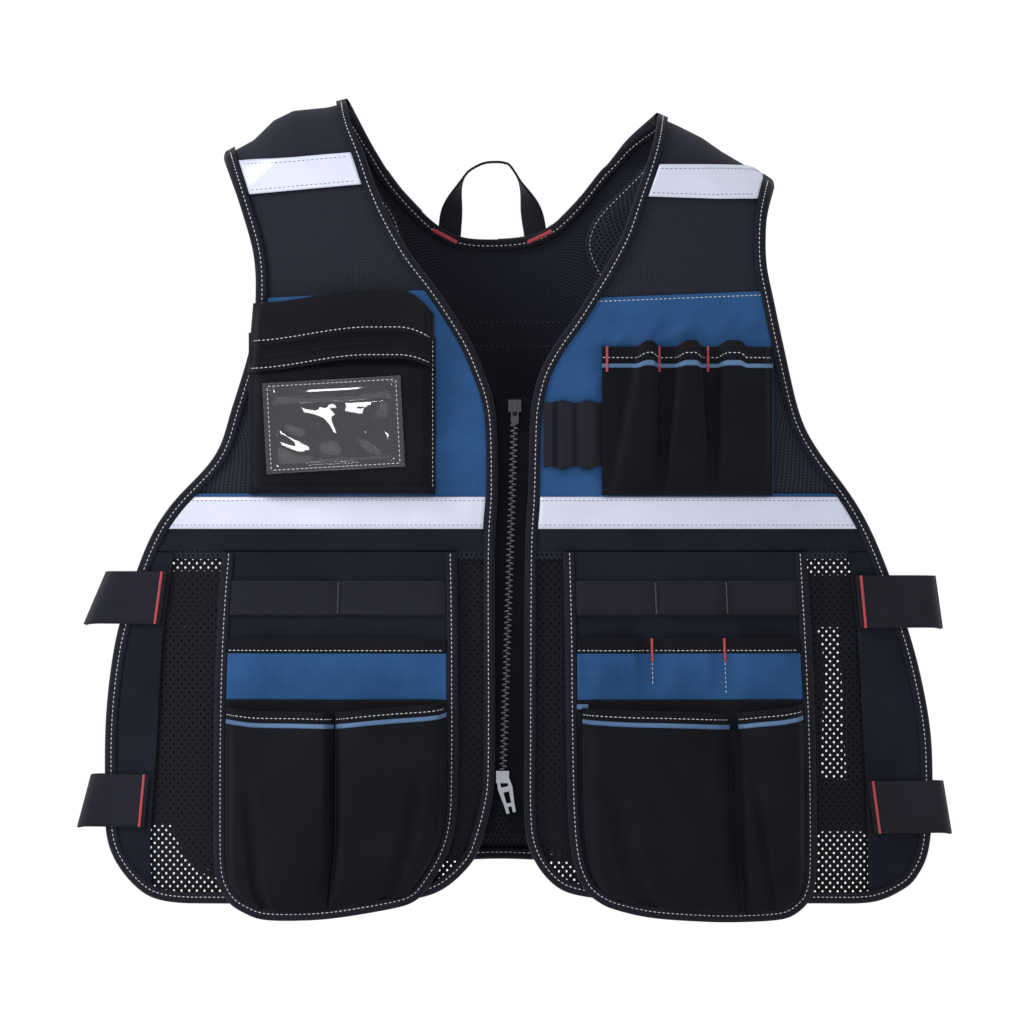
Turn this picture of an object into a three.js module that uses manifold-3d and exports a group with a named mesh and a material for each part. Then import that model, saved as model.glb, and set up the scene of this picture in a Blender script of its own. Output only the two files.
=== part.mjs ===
import * as THREE from 'three';
import { mergeVertices } from 'three/addons/utils/BufferGeometryUtils.js';
import Module from 'manifold-3d';

// Utility work vest, worn form
//
// Millimetres, +Z up, front toward -Y. Left and right are as seen from the front.
// The origin is where the shoulders carry the vest: on the middle plane, at the height of the shoulder pads.
// Every piece follows one front skin and one back skin, and lies at its own distance out from that skin.

// Body sizes
const bodyLength = 641; // highest shoulder point to lowest pocket hem
const halfWidth = 326; // middle line to the widest point of the left front
const seatDrop = 30; // highest shoulder point down to the origin
const frontDepth = 84; // how far the front stands forward at the middle
const backDepth = 58;
const frontSideDepth = 17; // the same at the side edges
const backSideDepth = 13;
const rollDrop = 40; // height over which the cloth turns over the shoulder
const shoulderFlatness = 0.28; // share of the depth missing at the shoulder
const chestShare = 0.4; // share of the length over which the depth fills out

// Cloth thicknesses
const gap = 0.3; // clearance between sewn layers
const meshWall = 3;
const panelWall = 1.2;
const tapeWall = 1;
const bindingWall = 1.2;
const boardWall = 2;
const pocketWall = 1.5;
const webbingWall = 1.8;
const padWall = 5;
const windowWall = 1;
const pipingWall = 1.2;

// Widths and lengths of the trimmings
const bindingWidth = 7;
const tapeWidth = 25;
const strapWidth = 41;
const loopWidth = 18;
const carrierWidth = 27; // webbing across the pocket boards
const pipingWidth = 3;
const turnSlack = 1.4; // extra clearance where layers turn over the shoulder
const foldGap = 0.7; // clearance between a cloth's edge and the fold of its binding
const bowSlack = 0.25; // extra clearance where a long layer bows over another
const pipingSlack = 0.35; // the same for piping over a pocket
const edgeSlack = 2; // distance kept between a panel's edge and a binding

// Pockets
const chestPocketWidth = 146;
const chestPocketHeight = 122;
const chestPocketBulge = 14;
const zipCoverHeight = 55;
const zipCoverBulge = 3;
const windowWidth = 108;
const windowHeight = 73;
const zipCoverLap = 25; // how far the zip cover hangs over the pocket's mouth
const chestSideShare = 0.08; // share of the pocket's width taken by each steep side
const toolSlots = 3;
const toolSlotWidth = 44.5;
const toolSlotHeight = 118;
const toolSlotBulge = 15;
const elasticLoops = 3;
const elasticWidth = 41;
const elasticHeight = 52;
const elasticBulge = 4;
const upperPocketBulge = 8;
const upperPocketUnder = 16; // how far it reaches down behind the lower pockets
const upperSlots = 3;
const upperPocketFall = [0.3, 0.9]; // shares of its open height over which the bulge falls away
const lowerPocketBulge = 20;
const pipingDrop = 12; // pocket mouth down to the piping
const wingHem = 0.085; // share of the hem that lies under the side fabric
const padTurnShare = 0.28; // share of the pad's length that turns over the shoulder
const strapTurn = 6; // reach of a side strap's fold
const strapDroop = 3;

// Zip
const chainWidth = 6;
const chainThickness = 3;
const zipTapeWall = 1;
const sliderWidth = 10;
const sliderHeight = 9.5;
const sliderWall = 1.8;
const bridgeWidth = 2.4;
const bridgeClear = 2.9; // free height under the slider's bridge
const pullBar = 1.6; // thickness of a pull, and of the bar that turns under the bridge
const topPullWidth = 6;
const topPullLength = 14;
const lowerPullWidth = 11.5;
const lowerPullLength = 28;
const lowerPullLean = 14; // degrees, toward +X
const mouthGap = 0.6; // beside the bridge, in a pull's mouth
const lowerMouthExtra = 1.1; // more room there, because the lower pull leans
const bridgeFoot = 1.2; // from each end of the slider to the bridge
const bridgeWall = 1.4;
const zipTapeUnder = 6; // how far a zip tape reaches in behind the front
const zipSpread = 4; // how far the tapes part below the chain

// Layers: distance out from the front skin, one above the other
const panelIn = gap + bowSlack;
const panelOut = panelIn + panelWall;
const trimIn = panelOut + gap;
const tapeOut = trimIn + tapeWall;
const bindingOut = trimIn + bindingWall;
const bindingBack = -meshWall - gap - turnSlack;
const bindingBackOut = bindingBack - bindingWall;
const padTurn = -meshWall - gap - 2 * turnSlack; // a pad's outer face where it turns over the shoulder
const padFlat = -meshWall - gap - bowSlack; // and at its lower end
const boardIn = gap + bindingWall + gap;
const boardLift = bindingOut; // the board rises by this over the hem's binding
const pocketIn = boardWall + gap; // measured from the board's inner face
const lowerPocketIn = pocketIn + pocketWall + gap;
const chestPocketIn = bindingOut + gap;
const chainFront = bindingBackOut - gap;
const chainMiddle = chainFront - chainThickness / 2;

const top = seatDrop;
const heightAt = (down) => top - down * bodyLength;
const spot = ([across, down]) => new THREE.Vector2(across * halfWidth, heightAt(down));
const shares = (rows) => rows.map(spot);
const steps = (count) => Array.from({ length: count + 1 }, (_, i) => i / count);
const mix = (a, b, t) => a + (b - a) * t;
const clamp = THREE.MathUtils.clamp;
const smooth = THREE.MathUtils.smoothstep;

// Outlines, seen from the front
// Columns: across, a share of the half width; down, a share of the body length.

const crestRows = {
  left: [[-0.682, 0.066], [-0.61, 0.046], [-0.562, 0.022], [-0.514, 0.01], [-0.433, 0.006], [-0.385, 0]],
  right: [[0.361, 0.017], [0.414, 0.029], [0.469, 0.043], [0.517, 0.06], [0.577, 0.078], [0.644, 0.101]],
};

// Each front: its two long edges start with a short stretch that turns over the shoulder.
const frontRows = {
  left: {
    leftTurn: [[-0.682, 0.066], [-0.663, 0.094], [-0.641, 0.127]],
    left: [
      [-0.641, 0.127], [-0.608, 0.187], [-0.603, 0.243], [-0.615, 0.298], [-0.66, 0.375], [-0.701, 0.433],
      [-0.804, 0.491], [-0.859, 0.535], [-0.907, 0.599], [-0.943, 0.663], [-0.964, 0.749], [-0.967, 0.839],
      [-0.964, 0.894], [-0.945, 0.925], [-0.911, 0.95],
    ],
    hem: [
      [-0.911, 0.95], [-0.864, 0.97], [-0.801, 0.978], [-0.703, 0.979], [-0.495, 0.978], [-0.256, 0.974],
      [-0.17, 0.965], [-0.122, 0.949],
    ],
    rightTurn: [[-0.385, 0], [-0.373, 0.028], [-0.344, 0.061]],
    right: [
      [-0.344, 0.061], [-0.316, 0.103], [-0.278, 0.146], [-0.227, 0.19], [-0.165, 0.231], [-0.091, 0.29],
      [-0.05, 0.338], [-0.033, 0.365], [-0.024, 0.401], [-0.022, 0.481], [-0.029, 0.555], [-0.029, 0.803],
      [-0.038, 0.858], [-0.06, 0.9], [-0.079, 0.925], [-0.122, 0.949],
    ],
  },
  right: {
    leftTurn: [[0.361, 0.017], [0.354, 0.043], [0.337, 0.073]],
    left: [
      [0.337, 0.073], [0.309, 0.114], [0.278, 0.161], [0.242, 0.197], [0.201, 0.232], [0.16, 0.265],
      [0.115, 0.297], [0.081, 0.328], [0.065, 0.355], [0.055, 0.389], [0.05, 0.481], [0.043, 0.555],
      [0.041, 0.779], [0.041, 0.864], [0.048, 0.903], [0.069, 0.929], [0.093, 0.946],
    ],
    hem: [
      [0.093, 0.946], [0.141, 0.964], [0.246, 0.973], [0.462, 0.978], [0.734, 0.979], [0.864, 0.979],
      [0.923, 0.971], [0.974, 0.956],
    ],
    rightTurn: [[0.644, 0.101], [0.632, 0.122], [0.622, 0.148]],
    right: [
      [0.622, 0.148], [0.622, 0.197], [0.639, 0.241], [0.663, 0.298], [0.701, 0.38], [0.742, 0.423],
      [0.816, 0.474], [0.856, 0.506], [0.897, 0.55], [0.95, 0.623], [0.99, 0.691], [1.018, 0.766],
      [1.024, 0.833], [1.021, 0.888], [1.008, 0.927], [0.974, 0.956],
    ],
  },
};

const backRows = {
  neckLeftTurn: [[-0.385, 0], [-0.354, 0.029], [-0.319, 0.062]],
  neck: [
    [-0.319, 0.062], [-0.28, 0.093], [-0.239, 0.118], [-0.179, 0.148], [-0.117, 0.165], [-0.041, 0.169],
    [0.05, 0.165], [0.108, 0.152], [0.167, 0.124], [0.227, 0.086], [0.248, 0.075],
  ],
  neckRightTurn: [[0.248, 0.075], [0.294, 0.046], [0.361, 0.017]],
  leftTurn: [[-0.682, 0.066], [-0.648, 0.092], [-0.62, 0.127]],
  left: [
    [-0.62, 0.127], [-0.586, 0.197], [-0.577, 0.28], [-0.586, 0.389], [-0.615, 0.487], [-0.658, 0.56],
    [-0.734, 0.616], [-0.806, 0.663], [-0.835, 0.718], [-0.835, 0.827], [-0.801, 0.9], [-0.763, 0.932],
  ],
  hem: [
    [-0.763, 0.932], [-0.72, 0.949], [-0.591, 0.955], [-0.304, 0.94], [-0.017, 0.928], [0.318, 0.94],
    [0.569, 0.954], [0.677, 0.944], [0.706, 0.927],
  ],
  rightTurn: [[0.644, 0.101], [0.624, 0.122], [0.603, 0.148]],
  right: [
    [0.603, 0.148], [0.586, 0.197], [0.586, 0.28], [0.605, 0.365], [0.634, 0.462], [0.677, 0.56],
    [0.73, 0.618], [0.763, 0.675], [0.763, 0.742], [0.754, 0.839], [0.737, 0.9], [0.706, 0.927],
  ],
};

// Pocket boards, which hang a little lower than the fronts
const boardRows = {
  left: {
    left: [
      [-0.682, 0.55], [-0.694, 0.633], [-0.701, 0.73], [-0.703, 0.852], [-0.701, 0.934], [-0.684, 0.965],
      [-0.66, 0.981],
    ],
    hem: [
      [-0.66, 0.981], [-0.634, 0.989], [-0.586, 0.998], [-0.495, 0.999], [-0.4, 0.995], [-0.266, 0.983],
      [-0.218, 0.974], [-0.191, 0.96],
    ],
    right: [
      [-0.12, 0.55], [-0.117, 0.657], [-0.117, 0.81], [-0.122, 0.878], [-0.146, 0.922], [-0.191, 0.96],
    ],
  },
  right: {
    left: [
      [0.134, 0.55], [0.139, 0.657], [0.141, 0.754], [0.146, 0.87], [0.158, 0.927], [0.184, 0.96],
      [0.213, 0.974],
    ],
    hem: [
      [0.213, 0.974], [0.251, 0.984], [0.342, 0.995], [0.462, 1], [0.557, 1.001], [0.658, 0.998],
      [0.699, 0.989], [0.725, 0.976],
    ],
    right: [
      [0.718, 0.55], [0.73, 0.657], [0.739, 0.764], [0.742, 0.858], [0.742, 0.934], [0.737, 0.959],
      [0.725, 0.976],
    ],
  },
};

// Seam between the side fabric and the mesh strip
const wingRows = {
  left: [[-0.799, 0.552], [-0.825, 0.645], [-0.84, 0.779], [-0.856, 0.898], [-0.852, 0.962]],
  right: [[0.818, 0.552], [0.842, 0.648], [0.854, 0.755], [0.864, 0.864], [0.868, 0.968]],
};

// Inner edge of each shoulder pad on the back
const padRows = {
  left: [
    [-0.43, 0.006], [-0.4, 0.043], [-0.352, 0.079], [-0.31, 0.109], [-0.27, 0.136], [-0.252, 0.161],
    [-0.251, 0.182], [-0.266, 0.204], [-0.294, 0.226],
  ],
  right: [
    [0.405, 0.027], [0.38, 0.05], [0.322, 0.083], [0.27, 0.109], [0.225, 0.132], [0.198, 0.153],
    [0.189, 0.174], [0.201, 0.196], [0.227, 0.219],
  ],
};

// Pockets along the foot of each board
// Columns: letter, and its two sides as shares of the board's width.
const lowerPocketSpans = {
  left: [['a', 0, 0.487], ['b', 0.493, 1]],
  right: [['a', 0.02, 0.66], ['b', 0.695, 1]],
};

// Upper left corners on the chest: across, down
const corner = {
  toolSlots: [0.227, 0.296],
  elasticLoops: [0.097, 0.367],
  zipCover: [-0.622, 0.243],
  window: [-0.594, 0.34],
};

// Levels, as shares of the body length
const level = {
  chestPanel: { left: [0.241, 0.231], right: [0.241, 0.232] },
  chestTape: 0.483,
  waistEnd: 0.548,
  boardTop: 0.552,
  boardLean: 0.94,
  boardEnd: 0.985,
  backTape: 0.263,
  carrier: 0.585,
  upperPocket: 0.655,
  lowerPocket: 0.74,
  shoulderTape: { left: [0.075, 0.063], right: [0.078, 0.082] },
  zipTop: 0.362,
  zipChainTop: 0.38,
  zipChainEnd: 0.816,
  zipEnd: 0.893,
};

// Across at the top and at the foot of the zip chain
const chainAcross = [0.0185, -0.0095];

// Outlines of the two pulls, as shares of their width and length
// half: one side from the bar down to the tip; opening: the space between the side bars.
const pullShapes = {
  top: { half: [[0.5, 0], [0.5, 0.9], [0.25, 1]] },
  lower: {
    half: [[0.4, 0], [0.5, 0.28], [0.36, 0.75], [0.32, 1], [0.12, 1], [0.12, 0.82]],
    opening: [[-0.2, 0.4], [0.2, 0.4], [0.16, 0.72], [-0.16, 0.72]],
  },
};

// Skins and curves

// Height of the shoulder line at x, held level past its two ends
function crestHeight(x) {
  const rows = shares(x < 0 ? crestRows.left : crestRows.right);
  if (x <= rows[0].x) return rows[0].y;
  const next = rows.findIndex((row) => row.x >= x);
  if (next < 0) return rows.at(-1).y;
  const [a, b] = [rows[next - 1], rows[next]];
  return mix(a.y, b.y, (x - a.x) / (b.x - a.x));
}

// Point at distance out from the front (side -1) or back (side 1) skin
function onSkin(side, x, z, out) {
  const [middle, edge] = side < 0 ? [frontDepth, frontSideDepth] : [backDepth, backSideDepth];
  const fill = 1 - shoulderFlatness * Math.max(1 - (top - z) / (chestShare * bodyLength), 0) ** 2;
  const depth = (edge + (middle - edge) * (1 - (x / halfWidth) ** 2)) * fill;
  const turned = 1 - clamp((crestHeight(x) - z) / rollDrop, 0, 1);
  const forward = Math.sqrt(1 - turned ** 2);
  const normal = new THREE.Vector2(forward / depth, turned / rollDrop).normalize().multiplyScalar(out);
  return new THREE.Vector3(x, side * (gap / 2 + depth * forward + normal.x), z + normal.y);
}

// Smooth curve through an outline table, walked by length
function curve(rows) {
  const spline = new THREE.SplineCurve(shares(rows));
  return (t) => spline.getPointAt(clamp(t, 0, 1));
}

// Curves end to end, each given its share of the walk
function joined(...stretches) {
  const total = stretches.reduce((sum, [, count]) => sum + count, 0);
  return (t) => {
    let rest = t * total;
    for (const [stretch, count] of stretches) {
      if (rest <= count) return stretch(rest / count);
      rest -= count;
    }
    return stretches.at(-1)[0](1);
  };
}

// The same curve moved to the left hand of its direction of travel
function inset(edge, amount) {
  const near = 0.004;
  return (t) => {
    const along = edge(Math.min(t + near, 1)).sub(edge(Math.max(t - near, 0))).normalize();
    return edge(t).add(new THREE.Vector2(-along.y, along.x).multiplyScalar(amount));
  };
}

// The stretch of a falling curve between two heights
function between(edge, high, low) {
  const at = (z) => {
    let [a, b] = [0, 1];
    for (let i = 0; i < 24; i++) {
      const middle = (a + b) / 2;
      if (edge(middle).y > z) a = middle;
      else b = middle;
    }
    return new THREE.Vector2(edge(a).x, z);
  };
  return (t) => at(mix(high, low, t));
}

// Region between four curves: left and right fall, upper and lower run to +X
function region(left, right, upper, lower) {
  return (u, v) => {
    const point = left(v).lerp(right(v), u);
    for (const [edge, weight] of [[upper, 1 - v], [lower, v]]) {
      if (!edge) continue;
      const bow = edge(u).sub(edge(0).lerp(edge(1), u));
      point.addScaledVector(bow, weight);
    }
    return point;
  };
}

const sub = (place, u0, u1, v0, v1) => (u, v) => place(mix(u0, u1, u), mix(v0, v1, v));

// Upright rectangle from its upper left corner
function rectangle(corner, width, height) {
  return (u, v) => new THREE.Vector2(corner.x + u * width, corner.y - v * height);
}

// Closed solids

function solid(positions, triangles) {
  let volume = 0;
  const [a, b, c] = [new THREE.Vector3(), new THREE.Vector3(), new THREE.Vector3()];
  for (const [i, j, k] of triangles) {
    a.copy(positions[i]);
    volume += a.dot(b.copy(positions[j]).cross(c.copy(positions[k])));
  }
  const facing = volume < 0 ? triangles.map(([i, j, k]) => [i, k, j]) : triangles;
  const geometry = new THREE.BufferGeometry().setFromPoints(positions);
  geometry.setIndex(facing.flat());
  geometry.computeVertexNormals();
  return geometry;
}

// Wall between two grids of points with the same rows and columns
function wall(outer, inner) {
  const [rows, columns] = [outer.length, outer[0].length];
  const positions = [...outer.flat(), ...inner.flat()];
  const far = rows * columns;
  const at = (j, i) => j * columns + i;
  const triangles = [];
  const quad = (p, q, r, s) => triangles.push([p, q, r], [p, r, s]);
  for (let j = 0; j < rows - 1; j++) {
    for (let i = 0; i < columns - 1; i++) {
      quad(at(j, i), at(j, i + 1), at(j + 1, i + 1), at(j + 1, i));
      quad(far + at(j, i), far + at(j + 1, i), far + at(j + 1, i + 1), far + at(j, i + 1));
    }
  }
  const rim = [];
  for (let i = 0; i < columns - 1; i++) rim.push(at(0, i));
  for (let j = 0; j < rows - 1; j++) rim.push(at(j, columns - 1));
  for (let i = columns - 1; i > 0; i--) rim.push(at(rows - 1, i));
  for (let j = rows - 1; j > 0; j--) rim.push(at(j, 0));
  rim.forEach((p, n) => {
    const q = rim[(n + 1) % rim.length];
    quad(p, far + p, far + q, q);
  });
  return solid(positions, triangles);
}

// Cloth over a region: inner and outer are distances from the skin, or functions of u and v
function cloth(side, place, us, vs, inner, outer) {
  const layer = (out) =>
    vs.map((v) => us.map((u) => {
      const { x, y } = place(u, v);
      return onSkin(side, x, y, typeof out === 'function' ? out(u, v, { x, y }) : out);
    }));
  return wall(layer(outer), layer(inner));
}

// Webbing: a grid of middle points given half its thickness on each side
function webbing(grid, thickness) {
  const [rows, columns] = [grid.length, grid[0].length];
  const shifted = (amount) =>
    grid.map((row, j) => row.map((point, i) => {
      const along = row[Math.min(i + 1, columns - 1)].clone().sub(row[Math.max(i - 1, 0)]);
      const across = grid[Math.min(j + 1, rows - 1)][i].clone().sub(grid[Math.max(j - 1, 0)][i]);
      return along.cross(across).normalize().multiplyScalar(amount).add(point);
    }));
  return wall(shifted(thickness / 2), shifted(-thickness / 2));
}

// A section swept through rings of points, closed in a loop or capped at both ends
function sweep(rings, isLoop) {
  const size = rings[0].length;
  const triangles = [];
  const last = isLoop ? rings.length : rings.length - 1;
  for (let n = 0; n < last; n++) {
    const [a, b] = [n * size, ((n + 1) % rings.length) * size];
    for (let i = 0; i < size; i++) {
      const k = (i + 1) % size;
      triangles.push([a + i, a + k, b + k], [a + i, b + k, b + i]);
    }
  }
  return { positions: rings.flat(), triangles, size };
}

// Folded binding round an edge: walk holds points with the direction into the cloth.
// Columns of the section: into the cloth, out from the skin.
function binding(side, walk, backOut, back, front, frontOut, offset = () => 0) {
  const rim = foldGap + bindingWall;
  const section = [
    [bindingWidth, front], [-foldGap, front], [-foldGap, back], [bindingWidth, back],
    [bindingWidth, backOut], [-rim, backOut], [-rim, frontOut], [bindingWidth, frontOut],
  ];
  const rings = walk.map(({ point, inward }) =>
    section.map(([into, out]) => {
      const { x, y } = point.clone().addScaledVector(inward, into);
      return onSkin(side, x, y, out + offset(point.y));
    }));
  const { positions, triangles, size } = sweep(rings, false);
  const cap = THREE.ShapeUtils.triangulateShape(section.map(([x, y]) => new THREE.Vector2(x, y)), []);
  const end = positions.length - size;
  cap.forEach(([i, j, k]) => triangles.push([i, k, j], [end + i, end + j, end + k]));
  return solid(positions, orient(triangles, size));
}

// Turns the two caps to agree with the side faces they join
function orient(triangles, size) {
  const directed = new Set(triangles.slice(0, 2 * size).map(([a, b]) => `${a},${b}`));
  const firstCap = triangles.findIndex(([a, b, c]) => Math.max(a, b, c) < size);
  const agrees = !triangles[firstCap].some((a, n, face) => directed.has(`${a},${face[(n + 1) % 3]}`));
  if (agrees) return triangles;
  return triangles.map((face, n) => (n < firstCap ? face : [face[0], face[2], face[1]]));
}

// Walk down the left edge, along the hem and up the right edge of a region
function rimWalk(place, us, vs) {
  const stations = [
    ...vs.map((v) => [0, v]),
    ...us.slice(1).map((u) => [u, 1]),
    ...vs.slice(0, -1).reverse().map((v) => [1, v]),
  ];
  return walkOf(stations.map(([u, v]) => place(u, v)), [
    place(us[1], 0).sub(place(0, 0)),
    place(us.at(-2), 0).sub(place(1, 0)),
  ]);
}

function walkOf(points, ends) {
  return points.map((point, n) => {
    const along = points[Math.min(n + 1, points.length - 1)].clone().sub(points[Math.max(n - 1, 0)]);
    let inward = new THREE.Vector2(-along.y, along.x);
    if (n === 0) inward = ends[0].clone();
    if (n === points.length - 1) inward = ends[1].clone();
    return { point, inward: inward.normalize() };
  });
}

// Materials

const finishes = {
  mesh: { color: '#17171f', roughness: 0.9 },
  blackCloth: { color: '#1c1d27', roughness: 0.85 },
  pocketCloth: { color: '#19181e', roughness: 0.85 },
  blueCloth: { color: '#28527d', roughness: 0.8 },
  binding: { color: '#15161c', roughness: 0.8 },
  piping: { color: '#5f7fae', roughness: 0.7 },
  reflective: { color: '#d3d8ea', roughness: 0.4 },
  webbing: { color: '#1e1e24', roughness: 0.8 },
  clear: { color: '#20222a', roughness: 0.1 },
  zip: { color: '#151724', roughness: 0.6 },
  blackMetal: { color: '#101014', roughness: 0.4, metalness: 0.6 },
  chrome: { color: '#c8ccd4', roughness: 0.15, metalness: 1 },
};
for (const name of Object.keys(finishes)) finishes[name] = new THREE.MeshStandardMaterial(finishes[name]);

const vest = new THREE.Group();

function add(name, geometry, finish, parent = vest) {
  const mesh = new THREE.Mesh(geometry, finishes[finish].clone());
  mesh.name = name;
  parent.add(mesh);
  return mesh;
}

// Front and back shells

const turnRows = 5;
const longRows = 12;
const shellColumns = steps(7);
// Rows crowd together where the cloth turns over the shoulder.
const turnSteps = steps(turnRows).map((t) => (1 - Math.cos(t * Math.PI / 2)) * turnRows);
const shellRows = [...turnSteps, ...steps(longRows).slice(1).map((t) => turnRows + t * longRows)]
  .map((row) => row / (turnRows + longRows));

const edgeInset = foldGap + bindingWall; // the binding makes the outline up to the measured one
const fronts = {};
for (const hand of ['left', 'right']) {
  const rows = frontRows[hand];
  const left = joined([curve(rows.leftTurn), turnRows], [curve(rows.left), longRows]);
  const right = joined([curve(rows.rightTurn), turnRows], [curve(rows.right), longRows]);
  const hem = curve(rows.hem);
  const crest = curve(crestRows[hand]);
  const place = region(inset(left, edgeInset), inset(right, -edgeInset), crest, inset(hem, edgeInset));
  fronts[hand] = { left, right, hem, place };
  add(`${hand}_front_shell`, cloth(-1, place, shellColumns, shellRows, -meshWall, 0), 'mesh');
  const walk = rimWalk(place, shellColumns, shellRows);
  add(`${hand}_front_binding`, binding(-1, walk, bindingBackOut, bindingBack, trimIn, bindingOut), 'binding');
}

const backLongRows = 9;
const backSteps = [...turnSteps, ...steps(backLongRows).slice(1).map((t) => turnRows + t * backLongRows)]
  .map((row) => row / (turnRows + backLongRows));
const neckColumns = 8;
const crestColumns = 2;
const sideColumns = crestColumns + turnRows;
const backTop = joined(
  [curve(crestRows.left), crestColumns], [curve(backRows.neckLeftTurn), turnRows],
  [curve(backRows.neck), neckColumns],
  [curve(backRows.neckRightTurn), turnRows], [curve(crestRows.right), crestColumns],
);
const backLeft = joined([curve(backRows.leftTurn), turnRows], [curve(backRows.left), backLongRows]);
const backRight = joined([curve(backRows.rightTurn), turnRows], [curve(backRows.right), backLongRows]);
const backHem = curve(backRows.hem);
const backPlace = region(
  inset(backLeft, edgeInset), inset(backRight, -edgeInset), backTop, inset(backHem, edgeInset),
);
const columnTotal = 2 * sideColumns + neckColumns;
const sideStations = [
  ...steps(crestColumns).map((t) => t * crestColumns),
  ...turnSteps.slice(1).map((t) => crestColumns + t),
];
const backColumns = [
  ...sideStations,
  ...steps(neckColumns).slice(1, -1).map((t) => sideColumns + t * neckColumns),
  ...sideStations.map((station) => columnTotal - station).reverse(),
].map((station) => station / columnTotal);
add('back_panel', cloth(1, backPlace, backColumns, backSteps, -meshWall, 0), 'mesh');
add('back_binding', binding(1, rimWalk(backPlace, backColumns, backSteps), bindingBackOut, bindingBack,
  trimIn, bindingOut), 'binding');
const neckStations = backColumns.slice(crestColumns, -crestColumns).reverse().map((u) => backPlace(u, 0));
const crestInward = [
  backPlace(backColumns.at(-crestColumns), 0).sub(neckStations[0]),
  backPlace(backColumns[crestColumns - 1], 0).sub(neckStations.at(-1)),
];
add('neck_binding', binding(1, walkOf(neckStations, crestInward), bindingBackOut, bindingBack,
  trimIn, bindingOut), 'binding');

// Cloth panels and reflective tape on the fronts

const panelInset = edgeInset + edgeSlack; // panels end under the binding
const trimInset = edgeInset + bindingWidth + gap + edgeSlack; // tape and pockets end beside it
const straight = steps(1);
const tapeMiddle = heightAt(level.chestTape) - tapeWidth / 2;

for (const hand of ['left', 'right']) {
  const { left, right, hem } = fronts[hand];
  const [panelLeft, panelRight] = [inset(left, panelInset), inset(right, -panelInset)];
  const [trimLeft, trimRight] = [inset(left, trimInset), inset(right, -trimInset)];
  const [chestLeft, chestRight] = level.chestPanel[hand].map(heightAt);
  add(`${hand}_chest_panel`, cloth(-1, region(
    between(panelLeft, chestLeft, tapeMiddle), between(panelRight, chestRight, tapeMiddle),
  ), steps(6), steps(4), panelIn, panelOut), 'blueCloth');
  const waistTop = tapeMiddle - gap;
  const waistEnd = heightAt(level.waistEnd);
  add(`${hand}_waist_panel`, cloth(-1, region(
    between(panelLeft, waistTop, waistEnd), between(panelRight, waistTop, waistEnd),
  ), steps(7), straight, panelIn, panelOut), 'blackCloth');

  const seam = curve(wingRows[hand]);
  const hemIn = inset(hem, panelInset);
  const wingTop = heightAt(level.boardTop);
  const wing = hand === 'left'
    ? region(between(panelLeft, wingTop, panelLeft(1).y), seam, null, (u) => hemIn(u * wingHem))
    : region(seam, between(panelRight, wingTop, panelRight(1).y), null, (u) => hemIn(1 - (1 - u) * wingHem));
  add(`${hand}_side_panel`, cloth(-1, wing, steps(2), steps(8), panelIn, panelOut), 'blackCloth');

  const tapeTop = heightAt(level.chestTape);
  add(`${hand}_chest_tape`, cloth(-1, region(
    between(trimLeft, tapeTop, tapeTop - tapeWidth), between(trimRight, tapeTop, tapeTop - tapeWidth),
  ), steps(7), straight, trimIn, tapeOut), 'reflective');
  const [shoulderLeft, shoulderRight] = level.shoulderTape[hand].map(heightAt);
  add(`${hand}_shoulder_tape`, cloth(-1, region(
    between(trimLeft, shoulderLeft, shoulderLeft - tapeWidth),
    between(trimRight, shoulderRight, shoulderRight - tapeWidth),
  ), steps(5), steps(3), gap + turnSlack, gap + turnSlack + tapeWall), 'reflective');
}

const backTapeTop = heightAt(level.backTape);
add('back_tape', cloth(1, region(
  between(inset(backLeft, trimInset), backTapeTop, backTapeTop - tapeWidth),
  between(inset(backRight, -trimInset), backTapeTop, backTapeTop - tapeWidth),
), steps(12), straight, gap, gap + tapeWall), 'reflective');

// Shoulder pads, inside the back of each shoulder

for (const hand of ['left', 'right']) {
  const neckSide = curve(padRows[hand]);
  const armSide = hand === 'left' ? inset(backLeft, trimInset) : inset(backRight, -trimInset);
  const armFall = between(armSide, armSide(0).y, neckSide(1).y);
  const [left, right] = hand === 'left' ? [armFall, neckSide] : [neckSide, armFall];
  const crest = (u) => {
    const x = mix(left(0).x, right(0).x, u);
    return new THREE.Vector2(x, crestHeight(x));
  };
  const rows = [...steps(5).map((t) => (1 - Math.cos(t * Math.PI / 2)) * padTurnShare),
    ...steps(4).slice(1).map((t) => mix(padTurnShare, 1, t))];
  const padOut = (u, v) => mix(padTurn, padFlat, smooth(v, padTurnShare, 1));
  add(`${hand}_shoulder_pad`, cloth(1, region(left, right, crest, null), steps(5), rows,
    (u, v) => padOut(u, v) - padWall, padOut), 'mesh');
}

// Pocket boards with their pockets

const boardFace = (z) => {
  const [from, to] = [heightAt(level.boardTop), heightAt(level.boardLean)];
  const lean = clamp((from - z) / (from - to), 0, 1);
  return boardIn + boardLift * lean;
};
const onBoard = (out) => (u, v, point) => boardFace(point.y) + (typeof out === 'function' ? out(u, v) : out);

// Share of the full bulge across a pocket of some equal tubes, and down a pocket
const [pillowPower, tubePower, fallPower] = [3, 0.8, 4];
const [mouthShare, mouthRise] = [0.7, 1.05];
const slotColumns = 6;
const pillow = (u) => 1 - Math.abs(2 * u - 1) ** pillowPower;
const tubes = (count) => (u) => Math.sin(Math.PI * ((u * count) % 1)) ** tubePower;
const fall = (v) => Math.min(mouthShare + mouthRise * v, 1) * (1 - v ** fallPower);

// Pocket wall and, where it has one, the strip of piping below its mouth
function pocket(name, place, columns, rows, inner, bulge, finish, pipingName) {
  const outer = (u, v) => inner + bulge(u, v) + pocketWall;
  return { name, place, columns, rows, inner: (u, v) => inner + bulge(u, v), outer, finish, pipingName };
}

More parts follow.
